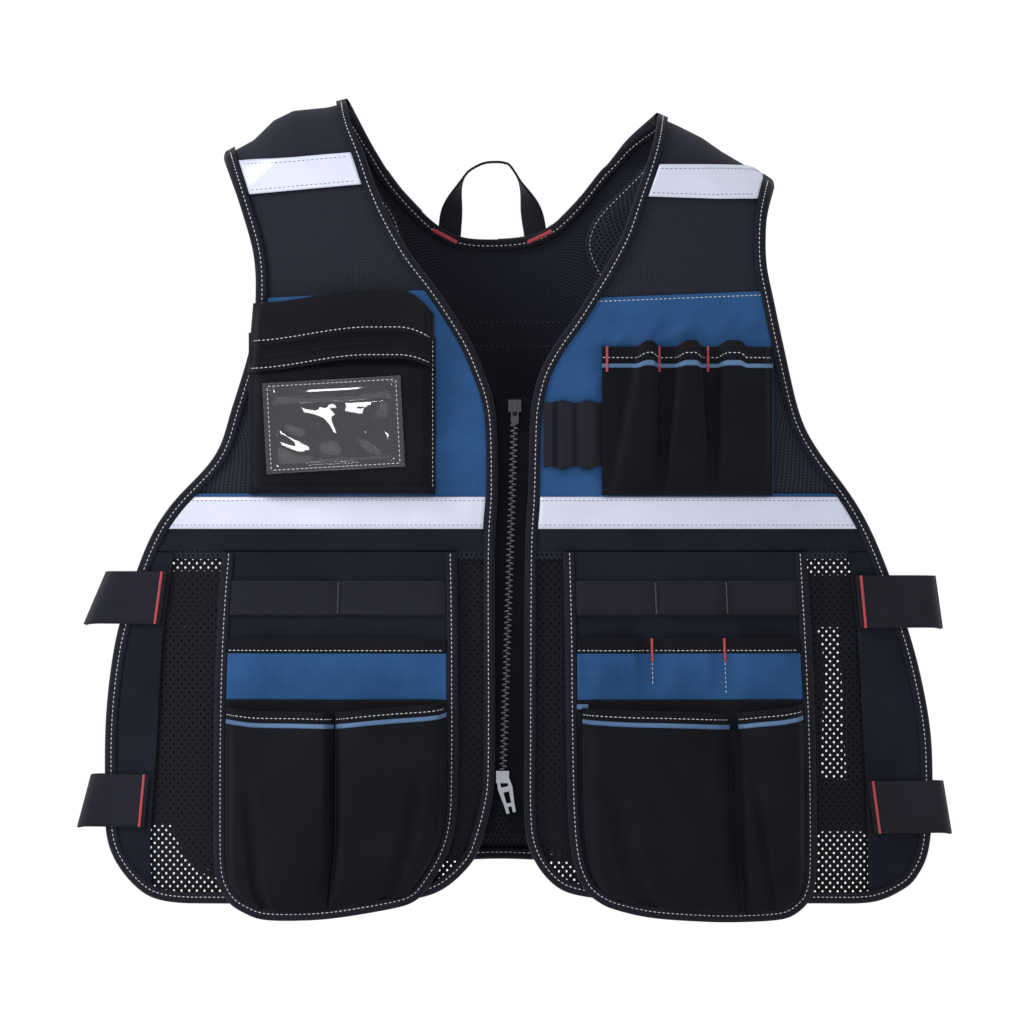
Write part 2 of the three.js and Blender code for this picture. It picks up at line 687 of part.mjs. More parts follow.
function addPocket({ name, place, columns, rows, inner, outer, finish, pipingName }, lay) {
  add(name, cloth(-1, place, columns, rows, lay(inner), lay(outer)), finish);
  if (!pipingName) return;
  const height = place(0.5, 0).y - place(0.5, 1).y;
  const from = pipingDrop / height;
  const to = from + pipingWidth / height;
  const strip = (extra) => lay((u, v) => outer(u, mix(from, to, v)) + gap + pipingSlack + extra);
  const pipingPlace = sub(place, 0, 1, from, to);
  add(pipingName, cloth(-1, pipingPlace, columns, straight, strip(0), strip(pipingWall)), 'piping');
}

for (const hand of ['left', 'right']) {
  const rows = boardRows[hand];
  const [left, right, hem] = [curve(rows.left), curve(rows.right), curve(rows.hem)];
  const board = region(inset(left, edgeInset), inset(right, -edgeInset), null, inset(hem, edgeInset));
  const boardColumns = steps(6);
  const boardSteps = [0, 0.2, 0.4, 0.6, 0.8, 0.87, 0.92, 0.96, 1];
  const boardSolid = cloth(-1, board, boardColumns, boardSteps, onBoard(0), onBoard(boardWall));
  add(`${hand}_pocket_board`, boardSolid, 'blackCloth');
  add(`${hand}_board_binding`, binding(-1, rimWalk(board, boardColumns, boardSteps),
    -gap - bindingWall, -gap, boardWall + gap, boardWall + gap + bindingWall, boardFace), 'binding');

  const [inLeft, inRight] = [inset(left, trimInset), inset(right, -trimInset)];
  const inner = region(inLeft, inRight, null, inset(hem, trimInset));
  const strip = (high, low) => region(between(inLeft, high, low), between(inRight, high, low));
  const carrierTop = heightAt(level.carrier);
  add(`${hand}_carrier_webbing`, cloth(-1, strip(carrierTop, carrierTop - carrierWidth), steps(4), straight,
    onBoard(pocketIn), onBoard(pocketIn + webbingWall)), 'webbing');

  const upperTop = heightAt(level.upperPocket);
  const upperEnd = heightAt(level.lowerPocket) - upperPocketUnder;
  const flatFrom = (upperTop - heightAt(level.lowerPocket)) / (upperTop - upperEnd);
  const across = hand === 'left' ? pillow : tubes(upperSlots);
  const [fullTo, flatTo] = upperPocketFall.map((share) => share * flatFrom);
  const upperBulge = (u, v) => upperPocketBulge * across(u) * (1 - smooth(v, fullTo, flatTo));
  const upperColumns = steps(hand === 'left' ? 8 : slotColumns * upperSlots);
  addPocket(pocket(`${hand}_upper_pocket`, strip(upperTop, upperEnd), upperColumns,
    [0, fullTo, (fullTo + flatTo) / 2, flatTo, 1], pocketIn, upperBulge, 'blueCloth'), onBoard);

  const mouth = (level.lowerPocket - level.boardTop) / (level.boardEnd - level.boardTop);
  for (const [letter, from, to] of lowerPocketSpans[hand]) {
    const lowerBulge = (u, v) => lowerPocketBulge * pillow(u) * fall(v);
    addPocket(pocket(`${hand}_lower_pocket_${letter}`, sub(inner, from, to, mouth, 1), steps(8), steps(7),
      lowerPocketIn, lowerBulge, 'pocketCloth', `${hand}_lower_piping_${letter}`), onBoard);
  }
}

// Chest pockets

const onSkinAlone = (out) => out;

const toolPlace = rectangle(spot(corner.toolSlots), toolSlots * toolSlotWidth, toolSlotHeight);
const toolBulge = (u, v) => toolSlotBulge * tubes(toolSlots)(u) * fall(v);
addPocket(pocket('tool_slots', toolPlace, steps(slotColumns * toolSlots), steps(6), chestPocketIn, toolBulge,
  'pocketCloth', 'tool_piping'), onSkinAlone);

const elasticOut = (u) => trimIn + elasticBulge * tubes(elasticLoops)(u);
const elasticPlace = rectangle(spot(corner.elasticLoops), elasticWidth, elasticHeight);
add('elastic_loops', cloth(-1, elasticPlace, steps(4 * elasticLoops), straight,
  elasticOut, (u) => elasticOut(u) + pocketWall), 'webbing');

// The chest pocket stands forward flat, with steep sides; the zip cover lies over its mouth.
const chestColumns = [0, chestSideShare, 0.35, 0.65, 1 - chestSideShare, 1];
const plateau = (u) => clamp(Math.min(u, 1 - u) / chestSideShare, 0, 1);
const coverCorner = spot(corner.zipCover);
const mouthCorner = coverCorner.clone().setY(coverCorner.y - zipCoverHeight + zipCoverLap);
const chestBulge = (u, v) => chestPocketBulge * plateau(u) * clamp((1 - v) / chestSideShare, 0, 1);
addPocket(pocket('chest_pocket', rectangle(mouthCorner, chestPocketWidth, chestPocketHeight), chestColumns,
  [0, 0.3, 0.6, 1 - chestSideShare, 1], chestPocketIn, chestBulge, 'pocketCloth'), onSkinAlone);
const coverRows = [0, 0.15, 0.3, 0.45, 0.6, 0.8, 1];
const coverIn = (u, v) => {
  const rise = clamp(v / coverRows[3], 0, 1);
  const fold = zipCoverBulge * Math.sin(Math.PI * v) * plateau(u);
  return chestPocketIn + rise * (chestPocketBulge * plateau(u) + pocketWall + gap) + fold;
};
add('chest_zip_cover', cloth(-1, rectangle(coverCorner, chestPocketWidth, zipCoverHeight), chestColumns,
  coverRows, coverIn, (u, v) => coverIn(u, v) + pocketWall), 'pocketCloth');
const windowIn = chestPocketIn + chestPocketBulge + pocketWall + gap;
add('window_sheet', cloth(-1, rectangle(spot(corner.window), windowWidth, windowHeight), steps(4), straight,
  windowIn, windowIn + windowWall), 'clear');

// Side straps: looped webbing from each front round to the back
// Columns: name, hand, down at the top edge, then across at the tack, at the fold and at the back end.
const strapRows = [
  ['upper_left_strap', 0.574, [-0.816, -0.833], [-0.962, -1.014], -0.6],
  ['lower_left_strap', 0.822, [-0.859, -0.871], [-1, -1.033], -0.76],
  ['upper_right_strap', 0.579, [0.837, 0.849], [1.026, 1.043], 0.61],
  ['lower_right_strap', 0.83, [0.866, 0.883], [1.046, 1.066], 0.68],
];
const strapOut = bindingOut + gap + webbingWall / 2;
for (const [name, down, tack, fold, end] of strapRows) {
  const rows = [0, 1].map((share) => {
    const z = heightAt(down) - share * strapWidth;
    const [tackX, foldX] = [tack, fold].map(([high, low]) => mix(high, low, share) * halfWidth);
    const turnX = foldX - Math.sign(foldX) * strapTurn;
    const endX = end * halfWidth;
    const front = onSkin(-1, turnX, z, strapOut);
    const back = onSkin(1, turnX, z, strapOut);
    const middle = new THREE.Vector3(foldX, (front.y + back.y) / 2, z - strapDroop);
    const route = new THREE.CatmullRomCurve3([
      onSkin(-1, tackX, z, strapOut), onSkin(-1, mix(tackX, turnX, 0.5), z, strapOut), front, middle, back,
      onSkin(1, mix(turnX, endX, 0.5), z, strapOut), onSkin(1, endX, z, strapOut),
    ], false, 'centripetal');
    return steps(16).map((t) => route.getPoint(t));
  });
  add(name, webbing(rows, webbingWall), 'webbing');
}

// Hang loop at the back of the neck: an arch of webbing that twists edge-on at its top
// Columns: across, down.
const loopRoute = [
  [-0.141, 0.18], [-0.133, 0.13], [-0.105, 0.094], [-0.069, 0.08], [-0.033, 0.077], [0.005, 0.08],
  [0.036, 0.1], [0.06, 0.135], [0.074, 0.18],
];
const loopTwist = [0.08, 0.36]; // shares of its length, from either foot, over which it twists
const loopCurve = curve(loopRoute);
const loopStations = steps(20).map((t) => {
  const flat = loopCurve(t);
  const near = 0.01;
  const along = loopCurve(t + near).sub(loopCurve(t - near)).normalize();
  const turn = (Math.PI / 2) * smooth(Math.min(t, 1 - t), ...loopTwist);
  const spread = new THREE.Vector3(-along.y * Math.cos(turn), -Math.sin(turn), along.x * Math.cos(turn));
  return { middle: onSkin(1, flat.x, flat.y, strapOut + bindingWall), spread };
});
const loopEdges = [-loopWidth / 2, loopWidth / 2].map((reach) =>
  loopStations.map(({ middle, spread }) => middle.clone().addScaledVector(spread, reach)));
add('hang_loop', webbing(loopEdges, webbingWall), 'webbing');

// Zip: two tapes, the closed chain, a slider at each end and their pulls

const chainTop = heightAt(level.zipChainTop);
const chainEnd = heightAt(level.zipChainEnd);
const chainX = (z) => mix(...chainAcross, (chainTop - z) / (chainTop - chainEnd)) * halfWidth;
const chainLine = (shift, high, low, spread = 0) => (t) => {
  const z = mix(high, low, t);
  const open = spread * Math.max(chainEnd - z, 0) / (chainEnd - low || 1);
  return new THREE.Vector2(chainX(z) + shift + Math.sign(shift) * open, z);
};
const [chainLeft, chainRight] = [-1, 1].map((side) => chainLine(side * chainWidth / 2, chainTop, chainEnd));
add('zip_chain', cloth(-1, region(chainLeft, chainRight), straight, steps(10),
  chainMiddle - chainThickness / 2, chainMiddle + chainThickness / 2), 'zip');
const zipTop = heightAt(level.zipTop);
const zipEnd = heightAt(level.zipEnd);
const zipUnder = edgeInset + zipTapeUnder;
const zipShift = chainWidth / 2 + gap;
const besideChain = (side) => chainLine(side * zipShift, zipTop, zipEnd, zipSpread);
const tapeRegions = {
  left: region(between(inset(fronts.left.right, -zipUnder), zipTop, zipEnd), besideChain(-1)),
  right: region(besideChain(1), between(inset(fronts.right.left, zipUnder), zipTop, zipEnd)),
};
// Each zip tape lies against its front's binding and steps back to the middle of the chain.
const tapeRise = (chainThickness - zipTapeWall) / 2;
for (const hand of ['left', 'right']) {
  const tapeBack = (u) => {
    const fromFront = hand === 'left' ? u : 1 - u;
    return chainMiddle - zipTapeWall / 2 + tapeRise * clamp(2 - 3 * fromFront, 0, 1);
  };
  add(`${hand}_zip_tape`, cloth(-1, tapeRegions[hand], steps(3), steps(12),
    tapeBack, (u) => tapeBack(u) + zipTapeWall), 'zip');
}

const wasm = await Module();
wasm.setup();

function manifoldOf(geometry) {
  const bare = new THREE.BufferGeometry().setAttribute('position', geometry.getAttribute('position'));
  bare.setIndex(geometry.index);
  const merged = mergeVertices(bare, 1e-4);
  return new wasm.Manifold(new wasm.Mesh({
    numProp: 3,
    vertProperties: merged.attributes.position.array,
    triVerts: new Uint32Array(merged.index.array),
  }));
}

function geometryOf(manifold) {
  const mesh = manifold.getMesh();
  const geometry = new THREE.BufferGeometry();
  geometry.setAttribute('position', new THREE.BufferAttribute(new Float32Array(mesh.vertProperties), 3));
  geometry.setIndex(new THREE.BufferAttribute(new Uint32Array(mesh.triVerts), 1));
  geometry.computeVertexNormals();
  return geometry;
}

const polygon = (points) => new THREE.Shape(points.map(([x, y]) => new THREE.Vector2(x, y)));
const extruded = (shape, depth) => new THREE.ExtrudeGeometry(shape, { depth, bevelEnabled: false });

// Slider: two plates on a post, with slots for the tapes, and a bridge in front for the pull
const slotHalf = zipTapeWall / 2 + gap;
const plateFront = slotHalf + sliderWall;
const postHalf = chainWidth / 2 - gap;
const barHeight = bridgeFoot + bridgeWall + bridgeClear / 2;
const barForward = plateFront + bridgeClear / 2;

function sliderGeometry() {
  const half = sliderWidth / 2;
  const body = extruded(polygon([
    [-half, -plateFront], [half, -plateFront], [half, -slotHalf], [postHalf, -slotHalf],
    [postHalf, slotHalf], [half, slotHalf], [half, plateFront], [-half, plateFront],
    [-half, slotHalf], [-postHalf, slotHalf], [-postHalf, -slotHalf], [-half, -slotHalf],
  ]), sliderHeight);
  const sunk = plateFront - sliderWall / 2;
  const outer = plateFront + bridgeClear + bridgeWall;
  const arch = polygon([[sunk, bridgeFoot], [outer, bridgeFoot], [outer, sliderHeight - bridgeFoot],
    [sunk, sliderHeight - bridgeFoot]]);
  arch.holes.push(polygon([
    [plateFront, bridgeFoot + bridgeWall], [plateFront + bridgeClear, bridgeFoot + bridgeWall],
    [plateFront + bridgeClear, sliderHeight - bridgeFoot - bridgeWall],
    [plateFront, sliderHeight - bridgeFoot - bridgeWall],
  ]));
  const bridge = extruded(arch, bridgeWidth).applyMatrix4(new THREE.Matrix4().makeBasis(
    new THREE.Vector3(0, -1, 0), new THREE.Vector3(0, 0, 1), new THREE.Vector3(-1, 0, 0),
  )).translate(bridgeWidth / 2, 0, 0);
  return geometryOf(manifoldOf(body).add(manifoldOf(bridge)));
}

// Pull, hanging from its bar at the origin
function pullGeometry(width, length, { half, opening }, mouthHalf) {
  const edge = half.map(([x, y]) => [x * width, y ? -y * length : pullBar / 2]);
  const shape = polygon([...edge.map(([x, y]) => [-x, y]), ...edge.slice().reverse()]);
  const mouthEnd = -(sliderHeight - bridgeFoot - barHeight + bridgeClear);
  shape.holes.push(polygon([
    [-mouthHalf, -pullBar / 2], [mouthHalf, -pullBar / 2], [mouthHalf, mouthEnd], [-mouthHalf, mouthEnd],
  ]));
  if (opening) shape.holes.push(polygon(opening.map(([x, y]) => [x * width, -y * length])));
  return extruded(shape, pullBar).translate(0, 0, -pullBar / 2).rotateX(Math.PI / 2);
}

const mouthHalf = bridgeWidth / 2 + mouthGap;
const pulls = {
  top: {
    lean: 0,
    finish: 'blackMetal',
    geometry: pullGeometry(topPullWidth, topPullLength, pullShapes.top, mouthHalf),
    foot: chainTop + gap,
  },
  lower: {
    lean: lowerPullLean,
    finish: 'chrome',
    geometry: pullGeometry(lowerPullWidth, lowerPullLength, pullShapes.lower, mouthHalf + lowerMouthExtra),
    foot: chainEnd - gap - sliderHeight,
  },
};
for (const [name, { lean, finish, geometry, foot }] of Object.entries(pulls)) {
  const slider = new THREE.Group();
  slider.position.copy(onSkin(-1, chainX(foot), foot, chainMiddle));
  add(`${name}_slider`, sliderGeometry(), finish, slider);
  const hinge = new THREE.Group();
  hinge.position.set(0, -barForward, barHeight);
  hinge.rotation.y = -THREE.MathUtils.degToRad(lean);
  add(`${name}_pull`, geometry, finish, hinge);
  slider.add(hinge);
  vest.add(slider);
}

export default vest;
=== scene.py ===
# %% [markdown]
# # A utility work vest
# This lesson dresses a measured model of a work vest in its cloth. The vest has a mesh body, blue and black
# panels, pockets that stand off the body, silver tape, a zip, webbing loops, and visible thread along every edge.
# The frame that is loaded first holds the true sizes, so each piece of cloth is laid in the place that it gives.

# %% Load the frame
import math

import bmesh
import bpy
import numpy as np
from mathutils import Matrix, Vector, noise


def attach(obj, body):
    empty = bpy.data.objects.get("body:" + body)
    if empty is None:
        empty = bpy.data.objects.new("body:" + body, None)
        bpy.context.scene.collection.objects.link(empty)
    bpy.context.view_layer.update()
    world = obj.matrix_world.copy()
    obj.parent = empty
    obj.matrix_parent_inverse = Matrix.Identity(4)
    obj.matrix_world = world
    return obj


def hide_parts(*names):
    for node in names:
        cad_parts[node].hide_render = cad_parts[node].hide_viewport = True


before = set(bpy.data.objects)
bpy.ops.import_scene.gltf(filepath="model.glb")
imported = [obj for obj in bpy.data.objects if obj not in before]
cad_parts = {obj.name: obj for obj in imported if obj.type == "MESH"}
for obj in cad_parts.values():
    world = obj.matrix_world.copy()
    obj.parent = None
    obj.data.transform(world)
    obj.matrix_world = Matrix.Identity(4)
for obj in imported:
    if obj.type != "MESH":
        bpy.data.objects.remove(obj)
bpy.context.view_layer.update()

print("frame holds", len(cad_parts), "solids")

# %% [markdown]
# ## Sizes
# A garment maker thinks in millimetres, and so does this lesson. Blender works in metres, so every point is
# multiplied by MM at the moment it is stored. Outlines are kept in thousandths of the vest's half width and
# length, across and down, because a size change then carries the whole outline with it.

# %% Sizes in millimetres
MM = 0.001
LENGTH, HALF_WIDTH, TOP = 641, 326, 30
FRONT_DEPTH, BACK_DEPTH = (84, 17), (58, 13)  # at the middle, at the side edges
ROLL, FLAT_SHOULDER, CHEST = 40, 0.28, 0.4
GAP, MESH, PANEL, TAPE, BINDING, BOARD, POCKET, WEBBING = 0.3, 3, 1.2, 1, 1.2, 2, 1.5, 1.8
BINDING_WIDTH, TAPE_WIDTH, STRAP_WIDTH, LOOP_WIDTH, CARRIER = 7, 25, 41, 18, 27
FOLD, TURN_SLACK, BOW = 0.7, 1.4, 0.25
PANEL_IN = GAP + BOW
TRIM_IN = PANEL_IN + PANEL + GAP
BINDING_OUT = TRIM_IN + BINDING
BINDING_BACK = -MESH - GAP - TURN_SLACK - BINDING
BOARD_IN = 2 * GAP + BINDING
EDGE = FOLD + BINDING
TRIM_EDGE = EDGE + BINDING_WIDTH + GAP + 2
THREAD_IN, BACK_THREAD_IN = 3.2, 3.4  # from an edge to the thread on its binding
THREAD_UP = 0.15  # how far a row of thread stands on its cloth
WAIST, BOARD_TOP, NECK_DROP = 0.549, 0.552, 3
HANDS = ("left", "right")

CREST = {
    "left": [(-682, 66), (-610, 46), (-562, 22), (-514, 10), (-433, 6), (-385, 0)],
    "right": [(361, 17), (414, 29), (469, 43), (517, 60), (577, 78), (644, 101)],
}
FRONT = {
    "left": {
        "left": [(-682, 66), (-663, 94), (-641, 127), (-608, 187), (-603, 243), (-615, 298), (-660, 375),
                 (-701, 433), (-804, 491), (-859, 535), (-907, 599), (-943, 663), (-964, 749),
                 (-967, 839), (-964, 894), (-945, 925), (-911, 950)],
        "hem": [(-911, 950), (-864, 970), (-801, 978), (-703, 979), (-495, 978), (-256, 974), (-170, 965),
                (-122, 949)],
        "right": [(-385, 0), (-373, 28), (-344, 61), (-316, 103), (-278, 146), (-227, 190), (-165, 231),
                  (-91, 290), (-50, 338), (-33, 365), (-24, 401), (-22, 481), (-29, 555), (-29, 803),
                  (-38, 858), (-60, 900), (-79, 925), (-122, 949)],
    },
    "right": {
        "left": [(361, 17), (354, 43), (337, 73), (309, 114), (278, 161), (242, 197), (201, 232),
                 (160, 265), (115, 297), (81, 328), (65, 355), (55, 389), (50, 481), (43, 555), (41, 779),
                 (41, 864), (48, 903), (69, 929), (93, 946)],
        "hem": [(93, 946), (141, 964), (246, 973), (462, 978), (734, 979), (864, 979), (923, 971),
                (974, 956)],
        "right": [(644, 101), (632, 122), (622, 148), (622, 197), (639, 241), (663, 298), (701, 380),
                  (742, 423), (816, 474), (856, 506), (897, 550), (950, 623), (990, 691), (1018, 766),
                  (1024, 833), (1021, 888), (1008, 927), (974, 956)],
    },
}
BACK = {
    "neck": [(-385, 0), (-354, 29), (-319, 62), (-280, 93), (-239, 118), (-179, 148), (-117, 165),
             (-41, 169), (50, 165), (108, 152), (167, 124), (227, 86), (248, 75), (294, 46), (361, 17)],
    "left": [(-682, 66), (-648, 92), (-620, 127), (-586, 197), (-577, 280), (-586, 389), (-615, 487),
             (-658, 560), (-734, 616), (-806, 663), (-835, 718), (-835, 827), (-801, 900), (-763, 932)],
    "hem": [(-763, 932), (-720, 949), (-591, 955), (-304, 940), (-17, 928), (318, 940), (569, 954),
            (677, 944), (706, 927)],
    "right": [(644, 101), (624, 122), (603, 148), (586, 197), (586, 280), (605, 365), (634, 462),
              (677, 560), (730, 618), (763, 675), (763, 742), (754, 839), (737, 900), (706, 927)],
}
BOARDS = {
    "left": {
        "left": [(-682, 550), (-694, 633), (-701, 730), (-703, 852), (-701, 934), (-684, 965),
                 (-660, 981)],
        "hem": [(-660, 981), (-634, 989), (-586, 998), (-495, 999), (-400, 995), (-266, 983), (-218, 974),
                (-191, 960)],
        "right": [(-120, 550), (-117, 657), (-117, 810), (-122, 878), (-146, 922), (-191, 960)],
    },
    "right": {
        "left": [(134, 550), (139, 657), (141, 754), (146, 870), (158, 927), (184, 960), (213, 974)],
        "hem": [(213, 974), (251, 984), (342, 995), (462, 1000), (557, 1001), (658, 998), (699, 989),
                (725, 976)],
        "right": [(718, 550), (730, 657), (739, 764), (742, 858), (742, 934), (737, 959), (725, 976)],
    },
}
WINGS = {
    "left": [(-799, 552), (-825, 645), (-840, 779), (-856, 898), (-852, 962)],
    "right": [(818, 552), (842, 648), (854, 755), (864, 864), (868, 968)],
}
PADS = {
    "left": [(-430, 6), (-400, 43), (-352, 79), (-310, 109), (-270, 136), (-252, 161), (-251, 182),
             (-266, 204), (-294, 226)],
    "right": [(405, 27), (380, 50), (322, 83), (270, 109), (225, 132), (198, 153), (189, 174), (201, 196),
              (227, 219)],
}

# %% [markdown]
# ## The two skins
# All the cloth follows two smooth surfaces, one in front of the wearer and one behind. A point is given by where
# it is seen from the front and by how far out from the skin it lies. Over the shoulder the skin turns backwards in
# a quarter of an ellipse, so the front and the back meet in a rounded shoulder and not in a fold.

# %% Points on the skins
def height(down):
    """The level at a share of the length below the top."""
    return TOP - down * LENGTH


def spots(rows):
    return [Vector((across / 1000 * HALF_WIDTH, height(down / 1000))) for across, down in rows]


crest_lines = {hand: np.array(spots(rows)) for hand, rows in CREST.items()}


def crest_height(x):
    line = crest_lines["left" if x < 0 else "right"]
    return float(np.interp(x, line[:, 0], line[:, 1]))


def on_skin(side, x, z, out):
    middle, edge = FRONT_DEPTH if side < 0 else BACK_DEPTH
    fill = 1 - FLAT_SHOULDER * max(1 - (TOP - z) / (CHEST * LENGTH), 0) ** 2
    depth = (edge + (middle - edge) * (1 - (x / HALF_WIDTH) ** 2)) * fill
    turned = 1 - min(max((crest_height(x) - z) / ROLL, 0), 1)
    forward = math.sqrt(1 - turned ** 2)
    normal = Vector((forward / depth, turned / ROLL)).normalized() * out
    return Vector((x, side * (GAP / 2 + depth * forward + normal.x), z + normal.y))


def sampled(path, count=240):
    """The same path as a table of points, so that it can be asked for thousands of times."""
    table = np.array([path(i / count)[:] for i in range(count + 1)])

    def at(t):
        place = min(max(t, 0), 1) * count
        i = min(int(place), count - 1)
        return Vector(table[i] + (table[i + 1] - table[i]) * (place - i))
    return at


def curve(rows):
    """A smooth curve through an outline's points, walked by its length."""
    points = np.array(spots(rows))
    last = len(points) - 1

    def raw(t):
        i = min(int(t * last), last - 1)
        w = t * last - i
        p0, p1, p2, p3 = (points[min(max(k, 0), last)] for k in (i - 1, i, i + 1, i + 2))
        v0, v1 = (p2 - p0) / 2, (p3 - p1) / 2
        return (2 * (p1 - p2) + v0 + v1) * w ** 3 + (3 * (p2 - p1) - 2 * v0 - v1) * w ** 2 + v0 * w + p1
    dense = np.array([raw(i / 600) for i in range(601)])
    walk = np.concatenate([[0], np.cumsum(np.linalg.norm(np.diff(dense, axis=0), axis=1))])
    stations = np.linspace(0, walk[-1], 301)
    even = np.column_stack([np.interp(stations, walk, dense[:, k]) for k in (0, 1)])
    return sampled(lambda t: even[round(t * 300)], 300)


def inset(path, amount):
    """The path moved to the left hand of its direction of travel."""
    def moved(t):
        along = (path(min(t + 0.01, 1)) - path(max(t - 0.01, 0))).normalized()
        return path(t) + Vector((-along.y, along.x)) * amount
    return sampled(moved)


def inset_sides(outline, amount):
    """An outline's left and right edges, both moved inwards."""
    return inset(outline["left"], amount), inset(outline["right"], -amount)


def between(path, high, low):
    """The stretch of a falling path between two heights."""
    table = np.array([path(i / 240)[:] for i in range(241)])
    order = np.argsort(table[:, 1])
    xs, zs = table[order, 0], table[order, 1]
    return lambda t: Vector((float(np.interp(high + (low - high) * t, zs, xs)), high + (low - high) * t))


def region(left, right, upper=None, lower=None):
    def place(u, v):
        point = left(v).lerp(right(v), u)
        for edge, weight in ((upper, 1 - v), (lower, v)):
            if edge:
                point += (edge(u) - edge(0).lerp(edge(1), u)) * weight
        return point
    return place


def level_band(edges, high, low):
    """The region between two edges, from one level to another."""
    return region(*(between(edge, high, low) for edge in edges))


def rectangle(across, down, width, tall):
    corner = spots([(across, down)])[0]
    return lambda u, v: Vector((corner.x + u * width, corner.y - v * tall))


def crumple(x, z, size, seed=0.0):
    """Soft unevenness, from -1 to 1, whose humps are about size millimetres across."""
    return noise.noise(Vector((x / size, z / size, seed)))


def uneven(base, amount, size, seed):
    """A face that keeps one distance from the skin, apart from soft unevenness."""
    return lambda u, v, p: base + amount * crumple(p.x, p.y, size, seed)


def smoothstep(t, a=0.0, b=1.0):
    t = min(max((t - a) / (b - a), 0), 1)
    return t * t * (3 - 2 * t)


def hump(t, centre, width):
    """A smooth fold at centre: 1 there, and 0 further than width away."""
    return max(0.0, 1 - ((t - centre) / width) ** 2) ** 2


print("front of the chest is", round(-on_skin(-1, 0, -200, 0).y), "mm forward of the shoulders")

# %% [markdown]
# ## Camera
# The camera stands far away with a long lens, level with the middle of the vest, so nothing looks nearer than
# it is.

# %% Camera
camera_data = bpy.data.cameras.new("camera")
camera_data.sensor_width = 36
camera_data.lens = 541
camera = bpy.data.objects.new("camera", camera_data)
camera.location = (0.0039, -12.08, -0.2914)
camera.rotation_euler = (math.radians(90), 0, 0)
camera_data.clip_end = 60
bpy.context.scene.collection.objects.link(camera)
bpy.context.scene.camera = camera
bpy.context.scene.view_settings.view_transform = "Standard"

# %% [markdown]
# ## Finishes
# Every finish starts from what the real surface is. Woven polyester shows a fine plain weave, which is drawn here
# at about two pixels a thread, because the real threads are too fine to show in the picture. Each weave follows
# the cloth's own flat map, which every piece gets in metres along and across its threads.

# %% Helpers for the finishes
def linear(hex_colour):
    """An sRGB hex colour as the linear numbers that Blender works in."""
    channels = [int(hex_colour[i:i + 2], 16) / 255 for i in (1, 3, 5)]
    return [c / 12.92 if c <= 0.04045 else ((c + 0.055) / 1.055) ** 2.4 for c in channels] + [1]


def add_node(tree, kind, settings=None, **inputs):
    """Adds one node. An input is a value, or another node's output to link from. i0 is the first input."""
    made = tree.nodes.new(kind)
    for key, value in (settings or {}).items():
        setattr(made, key, value)
    for key, value in inputs.items():
        numbered = key[0] == "i" and key[1:].isdigit()
        socket = made.inputs[int(key[1:]) if numbered else key.replace("_", " ")]
        if isinstance(value, bpy.types.NodeSocket):
            tree.links.new(value, socket)
        else:
            socket.default_value = value
    return made


def new_finish(name, **shader):
    made = bpy.data.materials.new(name)
    made.use_nodes = True
    tree = made.node_tree
    surface = tree.nodes["Principled BSDF"]
    for key, value in shader.items():
        surface.inputs[key.replace("_", " ")].default_value = value
    return made, tree, surface


def tint_by(tree, surface, share, colours, ends=(0, 1)):
    """The base colour goes from one colour to the other while share goes from end to end."""
    ramp = add_node(tree, "ShaderNodeValToRGB", None, Fac=share)
    for stop, colour, place in zip(ramp.color_ramp.elements, colours, ends):
        stop.position, stop.color = place, linear(colour)
    tree.links.new(ramp.outputs["Color"], surface.inputs["Base Color"])


def raise_by(tree, surface, rise, strength, relief, settings=None):
    """Bump of relief millimetres."""
    bump = add_node(tree, "ShaderNodeBump", settings, Height=rise, Strength=strength, Distance=relief * MM)
    tree.links.new(bump.outputs["Normal"], surface.inputs["Normal"])


def bands_per_metre(period):
    """The Wave texture's scale at which one band is period millimetres wide."""
    return 2 * math.pi / 20 / (period * MM)


def woven(name, colour, highlight, thread, relief, roughness=0.9, sheen=0.03, ribbed=False):
    """Woven cloth: two sets of threads cross, and the cloth is a little paler where a thread stands up."""
    made, tree, surface = new_finish(name, Roughness=roughness, Sheen_Weight=sheen, Sheen_Roughness=0.4,
                                     Specular_IOR_Level=0.06)
    flat = add_node(tree, "ShaderNodeTexCoord").outputs["UV"]
    warp = add_node(tree, "ShaderNodeTexWave", {"bands_direction": "X"}, Vector=flat,
                    Scale=bands_per_metre(thread), Distortion=0.6, Detail=1.0, Detail_Scale=2.0)
    weft = add_node(tree, "ShaderNodeTexWave", {"bands_direction": "Y"}, Vector=flat,
                    Scale=bands_per_metre(thread * (0.6 if ribbed else 1)), Distortion=0.6, Detail=1.0,
                    Detail_Scale=2.0)
    crossing = add_node(tree, "ShaderNodeMath", {"operation": "ADD" if ribbed else "MULTIPLY"},
                        i0=warp.outputs["Fac"], i1=weft.outputs["Fac"])
    placed = add_node(tree, "ShaderNodeTexCoord").outputs["Object"]
    wear = add_node(tree, "ShaderNodeTexNoise", None, Vector=placed, Scale=14.0, Detail=5.0, Roughness=0.6)
    blend = add_node(tree, "ShaderNodeMath", {"operation": "MULTIPLY_ADD"}, i0=crossing.outputs[0], i1=0.45,
                     i2=wear.outputs["Fac"])
    tint_by(tree, surface, blend.outputs[0], (colour, highlight), (0.3, 1.0))
    raise_by(tree, surface, crossing.outputs[0], 0.5, relief)
    return made


